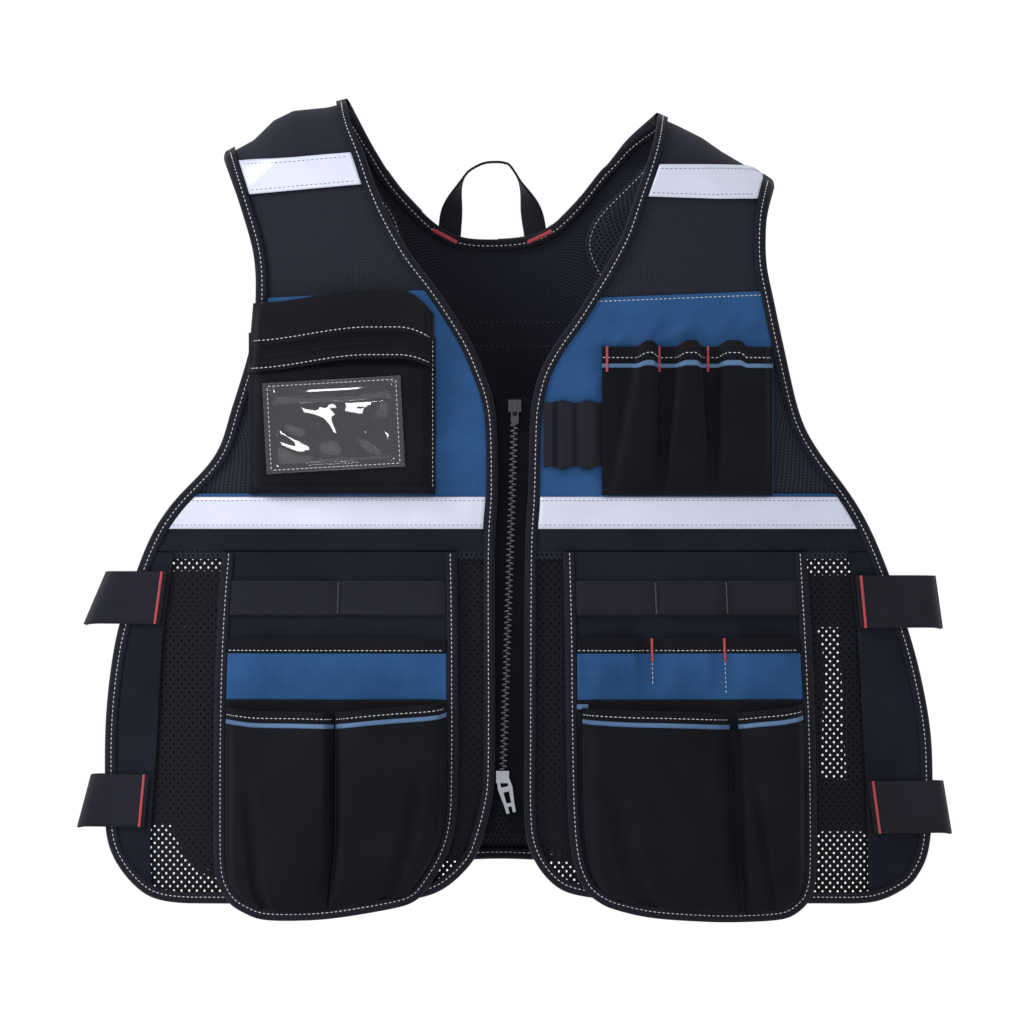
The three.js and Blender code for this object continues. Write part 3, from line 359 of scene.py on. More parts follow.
# %% Cloth, tape and thread
finishes = {
    # Plain woven polyester, dyed black with a blue cast: dull, with a fine pale sheen.
    "black_cloth": woven("black woven polyester", "#0f1017", "#1c1e27", 1.6, 0.10),
    # Heavier coated polyester of the pockets: darker, with a coarser thread.
    "pocket_cloth": woven("coated pocket polyester", "#0a0b0f", "#16171d", 1.8, 0.12),
    # The same weave dyed blue.
    "blue_cloth": woven("blue woven polyester", "#1a375b", "#2b507d", 1.6, 0.10, 0.8),
    # Ribbed edge binding, folded over every raw edge.
    "edge_binding": woven("ribbed polyester binding", "#0a0b10", "#191a22", 1.4, 0.12, 0.8, 0.04, True),
    # Narrow strip of slate blue cloth below a pocket's mouth.
    "piping": woven("slate blue piping cloth", "#3a5070", "#597494", 1.2, 0.08, 0.7),
    # Heavy woven webbing, with ribs across its length.
    "webbing": woven("woven polyester webbing", "#0d0e13", "#1d1e25", 1.9, 0.25, 0.75, 0.04, True),
    # Zip tape: fine, close weave.
    "zip_tape": woven("zip tape weave", "#06070b", "#0e0f15", 1.4, 0.10),
}

# Silver tape: cloth coated with glass beads, so it is pale, even and slightly lustrous.
tape, tape_tree, tape_surface = new_finish("glass bead reflective tape", Roughness=0.38, Metallic=0.15)
tape_place = add_node(tape_tree, "ShaderNodeTexCoord")
tape_stain = add_node(tape_tree, "ShaderNodeTexNoise", None, Vector=tape_place.outputs["Object"], Scale=25.0,
                      Detail=3.0)
tint_by(tape_tree, tape_surface, tape_stain.outputs["Fac"], ("#a9aec0", "#bcc1d1"))
tape_grid = add_node(tape_tree, "ShaderNodeTexWave", {"bands_direction": "DIAGONAL"},
                     Vector=tape_place.outputs["UV"], Scale=bands_per_metre(1.6))
raise_by(tape_tree, tape_surface, tape_grid.outputs["Fac"], 0.25, 0.04)
finishes["reflective_tape"] = tape

# Spacer mesh: knitted polyester with small staggered holes, closed behind, so each hole is only a small dent
# painted darker, as painted shade in the hole.
mesh_cloth, mesh_tree, mesh_surface = new_finish("spacer mesh", Roughness=0.85, Sheen_Weight=0.04,
                                                 Sheen_Roughness=0.4, Specular_IOR_Level=0.06)
mesh_flat = add_node(mesh_tree, "ShaderNodeTexCoord").outputs["UV"]
mesh_rows = []
for lean in (40, -40):
    turned = add_node(mesh_tree, "ShaderNodeMapping", None, Vector=mesh_flat,
                      Rotation=(0, 0, math.radians(lean)))
    mesh_rows.append(add_node(mesh_tree, "ShaderNodeTexWave", {"bands_direction": "X"},
                              Vector=turned.outputs[0], Scale=bands_per_metre(3.0)).outputs["Fac"])
hole_dent_and_shade = add_node(mesh_tree, "ShaderNodeMath", {"operation": "MULTIPLY"}, i0=mesh_rows[0],
                     i1=mesh_rows[1]).outputs[0]
# Each hole is painted darker, as painted shade in the hole; the bump below gives it a small dent.
tint_by(mesh_tree, mesh_surface, hole_dent_and_shade, ("#23252f", "#08080c"), (0.25, 0.6))
raise_by(mesh_tree, mesh_surface, hole_dent_and_shade, 0.6, 0.3, {"invert": True})
finishes["mesh_cloth"] = mesh_cloth


def plain(name, colour, roughness, grain, **shader):
    """A smooth or slightly grained surface of one colour, with a faint unevenness."""
    made, tree, surface = new_finish(name, Roughness=roughness, **shader)
    placed = add_node(tree, "ShaderNodeTexCoord").outputs["Object"]
    speckle = add_node(tree, "ShaderNodeTexNoise", None, Vector=placed, Scale=1 / (grain * MM), Detail=3.0)
    tint = add_node(tree, "ShaderNodeMix", {"data_type": "RGBA"}, Factor=speckle.outputs["Fac"])
    tint.inputs[6].default_value = [0.8 * c for c in linear(colour)[:3]] + [1]
    tint.inputs[7].default_value = [min(1.2 * c, 1) for c in linear(colour)[:3]] + [1]
    tree.links.new(tint.outputs[2], surface.inputs["Base Color"])
    raise_by(tree, surface, speckle.outputs["Fac"], 0.2, 0.05)
    return made


# Knitted net below the waist: matte black yarn.
finishes["net"] = plain("knitted polyester net", "#0c0d12", 0.85, 0.8, Specular_IOR_Level=0.15)
# Spun polyester thread, pale grey and dull; red thread on the bar tacks.
finishes["thread"] = plain("pale polyester thread", "#b4b4b8", 0.6, 0.6, Sheen_Weight=0.2)
finishes["dark_thread"] = plain("dark polyester thread", "#303138", 0.6, 0.6)
finishes["red_thread"] = plain("red polyester thread", "#a32b35", 0.5, 0.6, Sheen_Weight=0.2)
# Clear soft vinyl: most light goes straight through, and the rest is a sharp, glossy reflection of the lamps.
finishes["clear_sheet"] = plain("clear soft vinyl", "#1c2028", 0.05, 30, Alpha=0.35, Coat_Weight=1.0,
                                Coat_Roughness=0.03, Specular_IOR_Level=1.0)
# Moulded plastic teeth, black enamelled zinc and plated zinc.
finishes["zip_teeth"] = plain("moulded plastic", "#43454d", 0.25, 0.8)
finishes["black_metal"] = plain("black enamelled zinc", "#0d0d0f", 0.3, 2.0, Coat_Weight=0.5,
                                Coat_Roughness=0.2)
finishes["bright_metal"] = plain("plated zinc", "#9b9ea5", 0.14, 3.0, Metallic=1.0)
print("finishes:", len(finishes))

# %% [markdown]
# ## How a piece of cloth is made
# A sewing pattern is flat, and so is each piece here at first: an even grid. Its points are then moved to their
# place on the skin, and a Solidify modifier gives the cloth its wall on the inner side. The grid's own flat
# measure is kept as the cloth's map, so that the weave bends with the cloth instead of being projected on it.

# %% Helper: a cloth piece
def path_length(points):
    return sum((b - a).length for a, b in zip(points, points[1:]))


def as_mesh(name, shape):
    """Stores a finished bmesh as mesh data."""
    data = bpy.data.meshes.new(name)
    shape.to_mesh(data)
    shape.free()
    return data


def copies(name, original, places):
    """One mesh that holds a copy of a small mesh at each place. A place is a matrix."""
    gathered = bmesh.new()
    for place in places:
        original.transform(place)
        gathered.from_mesh(original)
        original.transform(place.inverted())
    return as_mesh(name, gathered)


def add_flat_map(shape, at):
    """The cloth's own map in metres: at gives a point's place on the flat pattern."""
    flat = shape.loops.layers.uv.new("cloth")
    for face in shape.faces:
        for loop in face.loops:
            loop[flat].uv = at(loop.vert.co)


def finish_piece(piece, finish, nodes=()):
    piece.data.materials.append(finishes[finish])
    for face in piece.data.polygons:
        face.use_smooth = True
    bpy.context.scene.collection.objects.link(piece)
    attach(piece, "vest")
    if nodes:
        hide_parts(*nodes)
    return piece


def cloth_piece(name, cells, place, finish, wall, nodes=(), flip=False, held=None):
    """Cloth over place(u, v), which gives points in millimetres: u runs across and v down."""
    shape = bmesh.new()
    bmesh.ops.create_grid(shape, x_segments=cells[0], y_segments=cells[1], size=0.5)
    ticks = [i / 12 for i in range(13)]
    width = max(path_length([place(u, v) for u in ticks]) for v in (0, 0.5, 1))
    tall = max(path_length([place(u, v) for v in ticks]) for u in (0, 0.5, 1))
    add_flat_map(shape, lambda co: ((co.x + 0.5) * width * MM, (co.y + 0.5) * tall * MM))
    for point in shape.verts:
        point.co = place(point.co.x + 0.5, 0.5 - point.co.y) * MM
    if flip:
        bmesh.ops.reverse_faces(shape, faces=shape.faces)
    area = sum(face.calc_area() for face in shape.faces)
    piece = bpy.data.objects.new(name, as_mesh(name, shape))
    thickness = piece.modifiers.new("wall", "SOLIDIFY")
    thickness.thickness, thickness.offset = wall * MM, -1
    finish_piece(piece, finish, nodes)
    return piece


def skin_sheet(name, cells, place, out, finish, side=-1, **more):
    """Cloth on a skin: place gives the spot as seen from the front, out the distance of its outer face."""
    def point(u, v):
        spot = place(u, v)
        lift = out(u, v, spot) if callable(out) else out
        return on_skin(side, spot.x, spot.y, lift)
    return cloth_piece(name, cells, point, finish, flip=side > 0, **more)


def on_face(place, face, u, v, lift, side=-1):
    """The point of a sheet at u, v, raised by lift from its outer face."""
    spot = place(u, v)
    return on_skin(side, spot.x, spot.y, face(u, v, spot) + lift)


# %% [markdown]
# ## Thread
# Nearly every line on this vest is a row of machine stitches, one each 3.6 mm. Each stitch is one small rounded
# dash. All the dashes of one colour are gathered in a list while the cloth is made, and become one object at the
# end, because hundreds of loose objects would be slow and hard to handle.

# %% Helper: rows of stitches
dashes = {"thread": [], "red_thread": [], "dark_thread": []}
PITCH, DASH, THREAD, TACK_PITCH = 3.6, 2.7, 0.75, 0.55


def stitch(path, colour="thread", pitch=PITCH, dash=DASH, thick=THREAD, facing=(0, -1, 0)):
    """A row of dashes along path(t), a point in millimetres."""
    fine = [path(i / 200) for i in range(201)]
    walk = np.concatenate([[0], np.cumsum([(b - a).length for a, b in zip(fine, fine[1:])])])
    for n in range(int(walk[-1] / pitch)):
        t = float(np.interp((n + 0.5) * pitch, walk, np.linspace(0, 1, 201)))
        along = (path(min(t + 0.002, 1)) - path(max(t - 0.002, 0))).normalized()
        outward = Vector(facing)
        outward = (outward - along * outward.dot(along)).normalized()
        turn = Matrix((along, outward.cross(along), outward)).transposed().to_4x4()
        size = Matrix.Diagonal((dash * MM, thick * MM, 0.55 * thick * MM, 1))
        dashes[colour].append(Matrix.Translation(path(t) * MM) @ turn @ size)


def skin_stitch(spot, out, side=-1, **more):
    """The same along spot(t), seen from the front, at a distance out from the skin."""
    def point(t):
        place = spot(t)
        return on_skin(side, place.x, place.y, out(place) if callable(out) else out)
    stitch(point, facing=(0, side, 0), **more)


def bar_tack(a, b, colour="red_thread", wide=2.2):
    """A close bar of thread from a to b: short dashes laid side by side across it."""
    along = (b - a).normalized()
    count = int((b - a).length / TACK_PITCH)
    front = Vector((0, -1, 0))
    for n in range(count):
        centre = a.lerp(b, (n + 0.5) / count)
        across = along.cross(front).normalized()
        turn = Matrix((across, front.cross(across), front)).transposed().to_4x4()
        size = Matrix.Diagonal((wide * MM, 0.75 * MM, 0.8 * MM, 1))
        dashes[colour].append(Matrix.Translation(centre * MM) @ turn @ size)


# %% [markdown]
# ## The front's mesh body
# Each front is knitted mesh. From the shoulder to the waist it is closed behind, so its holes show only as dark
# dots of painted shade.
# Below the waist it is a single net, and light comes through its holes at the sides. That net is made for
# real: a sheet of small cells is cut to the front's outline, and every second cell is inset and opened.

# %% Outlines of the fronts
fronts = {}
for hand in HANDS:
    f = fronts[hand] = {key: curve(rows) for key, rows in FRONT[hand].items()}
    f["place"] = region(*inset_sides(f, EDGE), curve(CREST[hand]), inset(f["hem"], EDGE))


def reach(path, z):
    """The share of a falling path's walk at which it comes down to z."""
    low, high = 0.0, 1.0
    for _ in range(24):
        middle = (low + high) / 2
        low, high = (middle, high) if path(middle).y > z else (low, middle)
    return low


def to_crest(place):
    """The same place, with its top row exactly on the shoulder's crest, where front and back meet."""
    neck = crest_lines["left"][-1][0], crest_lines["right"][0][0]

    def snapped(u, v):
        p, top = place(u, v), place(u, 0)
        if not neck[0] < top.x < neck[1]:
            p.y = min(p.y + (crest_height(top.x) - top.y) * (1 - v) ** 6, crest_height(p.x))
        return p
    return snapped


def climb(path):
    """A straight piece that leads from the crest down to where the path begins."""
    start = path(0)
    crest = crest_height(start.x)
    return lambda t: Vector((start.x, crest + (start.y - crest) * t * t))


# %% Closed mesh from shoulder to waist
# Rows crowd together over the shoulder, where the cloth turns.
NET_TOP = height(0.556)
for hand in HANDS:
    left, right = inset_sides(fronts[hand], EDGE)
    ends = reach(left, NET_TOP - 2), reach(right, NET_TOP - 2)
    yoke = to_crest(region(lambda v: left(ends[0] * v ** 1.8), lambda v: right(ends[1] * v ** 1.8),
                           curve(CREST[hand])))
    skin_sheet(f"{hand}_front_mesh", (48, 76), yoke,
               lambda u, v, p: (0.25 * crumple(p.x, p.y, 40, 1) + 0.12 * math.sin(p.y * 0.4)) * min(v * 6, 1),
               "mesh_cloth", wall=2.2, held="hung")

# %% Open net below the waist
CELL_WIDE, CELL_TALL, YARN, NET_IN = 3.0, 3.35, 0.68, 1.2


def inside(points, outline):
    """For each point, whether it lies inside a closed outline."""
    x, z = points[:, 0], points[:, 1]
    found = np.zeros(len(points), bool)
    for (x0, z0), (x1, z1) in zip(outline, np.roll(outline, -1, axis=0)):
        if z0 != z1:
            found ^= ((z0 > z) != (z1 > z)) & (x < (x1 - x0) * (z - z0) / (z1 - z0) + x0)
    return found


for hand in HANDS:
    place = fronts[hand]["place"]
    ring = [place(0, i / 80) for i in range(81)] + [place(i / 40, 1) for i in range(1, 41)]
    ring += [place(1, 1 - i / 80) for i in range(1, 81)]
    outline = np.array([p[:] for p in ring])
    low_x, high_x, low_z = outline[:, 0].min(), outline[:, 0].max(), outline[:, 1].min()
    across, down = round((high_x - low_x) / CELL_WIDE), round((NET_TOP - low_z) / CELL_TALL)
    net = bmesh.new()
    bmesh.ops.create_grid(net, x_segments=across, y_segments=down, size=0.5)
    bmesh.ops.translate(net, verts=net.verts, vec=(0.5, 0.5, 0))
    bmesh.ops.scale(net, verts=net.verts, vec=(high_x - low_x, NET_TOP - low_z, 1))
    bmesh.ops.translate(net, verts=net.verts, vec=(low_x, low_z, 0))
    cells = list(net.faces)
    centres = np.array([cell.calc_center_median()[:2] for cell in cells])
    keep = inside(centres, outline)
    column = np.round((centres[:, 0] - low_x) / (high_x - low_x) * across - 0.5).astype(int)
    row = np.round((centres[:, 1] - low_z) / (NET_TOP - low_z) * down - 0.5).astype(int)
    holes = [cell for cell, kept, i, j in zip(cells, keep, column, row) if kept and (i + j) % 2]
    bmesh.ops.delete(net, geom=[cell for cell, kept in zip(cells, keep) if not kept], context="FACES")
    bmesh.ops.inset_individual(net, faces=holes, thickness=YARN, use_even_offset=True)
    bmesh.ops.delete(net, geom=holes, context="FACES")
    add_flat_map(net, lambda co: co.xy * MM)
    for point in net.verts:
        point.co = on_skin(-1, point.co.x, point.co.y, -NET_IN) * MM
    bmesh.ops.recalc_face_normals(net, faces=net.faces)
    if sum(face.normal.y for face in list(net.faces)[:50]) > 0:
        bmesh.ops.reverse_faces(net, faces=net.faces)
    data = as_mesh(f"{hand}_front_net", net)
    piece = bpy.data.objects.new(f"{hand}_front_net", data)
    rounded = piece.modifiers.new("rounded holes", "SUBSURF")
    rounded.levels = rounded.render_levels = 1
    finish_piece(piece, "net", [f"{hand}_front_shell"])
    print(piece.name, "faces", len(data.polygons))

# %% [markdown]
# ## The back
# The back is one piece of closed mesh, which also shows from the front, inside the neck and between the fronts.
# It is stitched to silver tape on its outer face, so two rows of thread show on its inner face too.

# %% Back panel and its tape
back = {key: curve(rows) for key, rows in BACK.items()}
back_left, back_right = inset_sides(back, EDGE)
back_hem = inset(back["hem"], EDGE)
neck_rows = [(across, down + NECK_DROP) for across, down in BACK["neck"][1:-1]]
back_top = curve(CREST["left"] + neck_rows + CREST["right"])
back_place = to_crest(region(lambda v: back_left(v ** 1.8), lambda v: back_right(v ** 1.8), back_top,
                             back_hem))
skin_sheet("back_mesh", (120, 72), back_place,
           lambda u, v, p: 0.3 * crumple(p.x, p.y, 60, 2) * min(v * 6, 1) - 0.3,
           "mesh_cloth", side=1, wall=2.4, nodes=["back_panel"], held="hung")
tape_high = height(0.263)
skin_sheet("back_silver_tape", (90, 6),
           level_band(inset_sides(back, TRIM_EDGE), tape_high, tape_high - TAPE_WIDTH), GAP + TAPE,
           "reflective_tape", side=1, wall=0.8, nodes=["back_tape"], held="stretched")
for z in (tape_high - 3, tape_high - TAPE_WIDTH + 3):
    def back_row(t, z=z):
        return Vector((-185 + 372 * t, z))
    skin_stitch(back_row, GAP + TAPE + 0.1, side=1, colour="dark_thread")
    skin_stitch(back_row, -MESH + 0.2, side=1, colour="dark_thread", pitch=4.4, dash=2.0)

# %% [markdown]
# ## Shoulder pads
# A D-shaped pad is sewn inside each shoulder. It is a layer of foam between two cloths, thin at its stitched rim
# and full in the middle, so its inner face is crowned. The crown is worked out from the distance to the rim.

# %% Shoulder pads
for hand in HANDS:
    neck_side = curve(PADS[hand])
    arm_edge = inset(back[hand], TRIM_EDGE if hand == "left" else -TRIM_EDGE)
    arm_side = between(arm_edge, arm_edge(0).y, neck_side(1).y)
    sides = (arm_side, neck_side) if hand == "left" else (neck_side, arm_side)

    def pad_top(u, sides=sides):
        x = sides[0](0).x + (sides[1](0).x - sides[0](0).x) * u
        return Vector((x, crest_height(x)))
    pad_place = region(lambda v, s=sides: s[0](v ** 1.5), lambda v, s=sides: s[1](v ** 1.5), pad_top)

    def pad_face(u, v, spot):
        rim = min(1, 5 * u, 5 * (1 - u), 6 * (1 - v))
        return -MESH - GAP - 2.2 + 0.9 * v - 4.2 * math.sin(rim * math.pi / 2)
    pad = skin_sheet(f"{hand}_pad", (32, 44), pad_place, pad_face, "mesh_cloth", side=1, wall=1.2,
                     nodes=[f"{hand}_shoulder_pad"])
    rim = 0.97 if hand == "left" else 0.03
    stitch(lambda t: on_face(pad_place, pad_face, rim, 0.12 + 0.88 * t, -1.55, 1), dash=2.4, thick=0.7)

# %% [markdown]
# ## Edge binding
# Every raw edge is wrapped in ribbed tape, folded over it and held by one row of pale thread. Its section is a
# narrow U with a round fold. The strip is a long grid: one way runs along the edge and the other round the fold.

# %% Helper: binding
def fold_section(s, front, back):
    """Into the cloth, and out from the skin, for s from the front hem round the fold to the back hem."""
    middle, half = (front + back) / 2, (front - back) / 2
    if s < 0.3:
        return BINDING_WIDTH * (1 - s / 0.3), front
    if s > 0.7:
        return BINDING_WIDTH * (s - 0.7) / 0.3, back
    angle = math.pi / 2 - (s - 0.3) / 0.4 * math.pi
    return -EDGE * math.cos(angle) ** 1.6, middle + half * math.sin(angle)


def bind(name, walk, side, front, back, count, nodes, offset=lambda z: 0, over_shoulder=True):
    """walk(t) gives the raw edge, with the cloth on its left hand."""
    def into(t):
        along = (walk(min(t + 0.004, 1)) - walk(max(t - 0.004, 0))).normalized()
        return Vector((-along.y, along.x))

    def point(u, v):
        inner, out = fold_section(v, front, back)
        edge = walk(u)
        spot = edge + into(u) * inner
        if over_shoulder and (u < 1e-6 or u > 1 - 1e-6):
            spot.y = crest_height(spot.x)
        pucker = 0.12 * math.sin(edge.x * 1.7 + edge.y * 1.9) * hump(inner, BACK_THREAD_IN, 4)
        return on_skin(side, spot.x, spot.y, out + pucker + offset(edge.y))
    cloth_piece(name, (count, 12), point, "edge_binding", wall=0.9, nodes=nodes, flip=side > 0)
    skin_stitch(lambda t: walk(t) + into(t) * THREAD_IN, lambda p: front + 0.1 + offset(p.y), side=side)


def chained(*paths):
    """Paths end to end, walked at one speed. A path given as a pair is walked backwards."""
    points = []
    for path in paths:
        order = range(201) if callable(path) else range(200, -1, -1)
        path = path if callable(path) else path[0]
        points += [path(i / 200) for i in order]
    walk = np.concatenate([[0], np.cumsum([(b - a).length for a, b in zip(points, points[1:])])])
    table = np.array([p[:] for p in points])
    goal = np.linspace(0, walk[-1], 901)
    even = np.column_stack([np.interp(goal, walk, table[:, k]) for k in (0, 1)])
    kernel = np.ones(9) / 9
    smooth = np.column_stack([np.convolve(np.pad(even[:, k], 4, "edge"), kernel, "valid")
                              for k in (0, 1)])
    smooth[0], smooth[-1] = even[0], even[-1]
    return sampled(lambda t: smooth[round(t * 900)], 900)


# %% Binding on the fronts, the back and the neck
for hand in HANDS:
    f = fronts[hand]
    left, right = inset_sides(f, EDGE)
    walk = chained(climb(left), left, inset(f["hem"], EDGE), (right,), (climb(right),))
    bind(f"{hand}_front_edge", walk, -1, BINDING_OUT, BINDING_BACK, 460, [f"{hand}_front_binding"])
back_walk = chained(climb(back_left), back_left, back_hem, (back_right,), (climb(back_right),))
bind("back_edge", back_walk, 1, BINDING_OUT, BINDING_BACK, 400, ["back_binding"])
neck_line = sampled(lambda t: back["neck"](1 - t), 200)
bind("neck_edge", neck_line, 1, BINDING_OUT, BINDING_BACK, 200, ["neck_binding"])
for edge in (neck_line, back_hem):
    skin_stitch(inset(edge, BACK_THREAD_IN), BINDING_BACK - 0.1, side=1)
# Where the hang loop is sewn on, in millimetres
for tack in (((-58.5, -69), (-39.5, -79)), ((16.5, -79), (35.5, -70))):
    bar_tack(*(on_skin(1, x, z, BINDING_BACK - 0.6) for x, z in tack), wide=4)

# %% [markdown]
# ## Blue and black panels
# The panels are plain woven cloth sewn on the mesh body. They aren't tight: soft wrinkles run from the seams and
# from under the pockets. The wrinkles are small pushes on the grid, a few wide ones with a direction and a layer
# of fine unevenness, because a simulation would not place them where this vest has them.

# %% Panels on the fronts
tape_top = height(0.483)
TAPE_LEVEL = tape_top - TAPE_WIDTH
TAPE_LAP = 8  # how far the blue cloth runs on under the tape
PANEL_LIMIT = {"left": 196, "right": 208}  # outside this the mesh stays bare


def limited(path, limit):
    """A side edge that goes no further from the middle than limit."""
    return lambda t: Vector((max(-limit, min(limit, path(t).x)), path(t).y))


for hand, tops in (("left", (0.241, 0.231)), ("right", (0.241, 0.232))):
    f = fronts[hand]
    left, right = inset_sides(f, EDGE + 2)
    trim = inset_sides(f, TRIM_EDGE - 1.5)
    high = [height(level) for level in tops]

    def wrinkles(u, v, p):
        """Wide folds and fine ones, deepest near the top and flat at the seams."""
        soft = crumple(p.x + 0.6 * p.y, p.y * 1.6, 30, 3) + 0.6 * crumple(p.x - 0.5 * p.y, p.y, 13, 4)
        deep = 2.4 + 1.8 * smoothstep(p.y, -170, -150)
        sewn = min(1, 5 * v, 5 * (1 - v), 8 * u, 8 * (1 - u))
        return PANEL_IN + PANEL + deep * sewn * max(soft + 0.1, 0)
    sides = [limited(between(edge, top, tape_top - TAPE_LAP), PANEL_LIMIT[hand])
             for edge, top in ((left, high[0]), (right, high[1]))]
    skin_sheet(f"{hand}_chest_cloth", (56, 58), region(*sides), wrinkles, "blue_cloth", wall=0.9,
               nodes=[f"{hand}_chest_panel"], held="stretched")
    skin_sheet(f"{hand}_tape_backing", (90, 6), level_band((left, right), tape_top + 2.6, tape_top - TAPE_LAP),
               PANEL_IN + PANEL + 0.1, "blue_cloth", wall=0.6)
    skin_sheet(f"{hand}_waist_cloth", (100, 26), level_band((left, right), tape_top - 12, height(WAIST)),
               uneven(PANEL_IN + PANEL, 0.25, 28, 5), "black_cloth", wall=0.9,
               nodes=[f"{hand}_waist_panel"], held="stretched")
    skin_sheet(f"{hand}_chest_silver_tape", (90, 8), level_band(trim, tape_top, TAPE_LEVEL),
               uneven(TRIM_IN + TAPE, 0.12, 34, 6), "reflective_tape", wall=0.8,
               nodes=[f"{hand}_chest_tape"], held="stretched")
    for z in (tape_top - 3, TAPE_LEVEL + 3):
        edges = [between(edge, z, z - 1)(0) for edge in trim]
        skin_stitch(lambda t, e=edges: e[0].lerp(e[1], t), TRIM_IN + TAPE + THREAD_UP, colour="dark_thread",
                    dash=2.2, thick=0.55)
    if hand == "right":
        top_line = [between(left, high[0] - 3, 0)(0), between(right, high[1] - 3, 0)(0)]
        skin_stitch(lambda t, e=top_line: e[0].lerp(e[1], t), PANEL_IN + PANEL + THREAD_UP)

# %% Side cloth with its seam allowance, and the shoulder tape
HEM_SHARE = 0.085  # share of the front's hem that the side cloth takes
for hand in HANDS:
    f = fronts[hand]
    seam = curve(WINGS[hand])
    outer = inset(f[hand], (EDGE + 2) * (1 if hand == "left" else -1))
    hem_in = inset(f["hem"], EDGE + 2)
    edge = between(outer, height(WAIST), outer(1).y)
    if hand == "left":
        wing = region(edge, seam, None, lambda u: hem_in(u * HEM_SHARE))
    else:
        wing = region(seam, edge, None, lambda u: hem_in(1 - (1 - u) * HEM_SHARE))
    skin_sheet(f"{hand}_side_cloth", (26, 84), wing, uneven(PANEL_IN + PANEL, 0.3, 26, 7), "black_cloth",
               wall=0.9, nodes=[f"{hand}_side_panel"], held="stretched")
    turned_in = between(seam, height(0.635), height(0.835))
    inward = 15 if hand == "left" else -15
    sides = (turned_in, lambda v, t=turned_in, d=inward: t(v) + Vector((d, 0)))
    skin_sheet(f"{hand}_side_allowance", (8, 60), region(*(sides if hand == "left" else sides[::-1])),
               uneven(-3.2, 0.3, 14, 17), "black_cloth", wall=0.6)
    trim = inset_sides(f, TRIM_EDGE - 1.5)
    levels = [height(level) for level in ((0.075, 0.063) if hand == "left" else (0.078, 0.082))]
    band = region(between(trim[0], levels[0], levels[0] - TAPE_WIDTH),
                  between(trim[1], levels[1], levels[1] - TAPE_WIDTH))

    def shoulder_band(u, v, band=band):
        """The tape's corner bends over the shoulder where the crest runs below it."""
        p = band(u, v)
        return Vector((p.x, min(p.y, crest_height(p.x) - 1)))
    skin_sheet(f"{hand}_shoulder_silver_tape", (40, 16), shoulder_band, GAP + TURN_SLACK + TAPE,
               "reflective_tape", wall=0.8, nodes=[f"{hand}_shoulder_tape"], held="stretched")
    for v in (0.12, 0.88):
        skin_stitch(lambda t, v=v, band=shoulder_band: band(0.02 + 0.96 * t, v),
                    GAP + TURN_SLACK + TAPE + THREAD_UP, colour="dark_thread", dash=2.2, thick=0.55)

# %% [markdown]
# ## Pocket boards
# Two stiff boards of black cloth hang from the waist, one on each front. Each carries a band of webbing, an upper
# pocket with a blue face, and lower pockets whose gussets let them stand forward. The boards lean out slightly,
# because they pass over the hem's binding.

# %% Boards, their binding and the webbing band
def board_face(z):
    """The board's inner face at one level: it leans out towards the hem's binding."""
    lean = min(max((height(BOARD_TOP) - z) / (height(BOARD_TOP) - height(0.94)), 0), 1)
    return BOARD_IN + BINDING_OUT * lean


boards = {}
for hand in HANDS:
    cut = {key: curve(rows) for key, rows in BOARDS[hand].items()}
    (left, right), hem = inset_sides(cut, EDGE), inset(cut["hem"], EDGE)
    skin_sheet(f"{hand}_board", (48, 70), region(left, right, None, hem),
               lambda u, v, p: board_face(p.y) + BOARD + 0.2 * crumple(p.x, p.y, 34, 8), "black_cloth", wall=1.6,
               nodes=[f"{hand}_pocket_board"], held="hung")
    walk = chained(left, hem, (right,))
    bind(f"{hand}_board_edge", walk, -1, BOARD + GAP + BINDING, -GAP - BINDING, 340, [f"{hand}_board_binding"],
         board_face, over_shoulder=False)
    inner = inset_sides(cut, TRIM_EDGE - 2)
    boards[hand] = {"edges": inner, "place": region(*inner, None, inset(cut["hem"], TRIM_EDGE - 2))}
    high = height(0.585)
    band = level_band(inner, high, high - CARRIER)
    tacks = (0.5,) if hand == "left" else (0.36, 0.68)

    def webbing_face(u, v, p, tacks=tacks):
        held_down = max([hump(u, tack, 0.05) for tack in tacks] + [hump(u, 0, 0.04), hump(u, 1, 0.04)])
        return board_face(p.y) + BOARD + GAP + WEBBING * (1 - 0.5 * held_down) + 0.5 * (1 - held_down)
    skin_sheet(f"{hand}_webbing_band", (110, 14), band, webbing_face, "webbing", wall=1.2,
               nodes=[f"{hand}_carrier_webbing"], held="stretched")
    for tack in tacks:
        ends = [band(tack, v) for v in (0.05, 0.95)]
        bar_tack(*(on_skin(-1, p.x, p.y, board_face(p.y) + BOARD + 2.4) for p in ends), colour="dark_thread",
                 wide=1.4)

# %% [markdown]
# ## Pockets
# A pocket is a cloth wall that stands off what is behind it. Its push forward is a profile across, high over the
# tubes and low in the folds between them, times a profile down, because the cloth is tucked in at its foot. The
# mouths have a folded hem, a row of pale thread and a strip of slate blue piping.

# %% Helper: a pocket wall with its trimmings
PIPING_WIDTH = 3.4


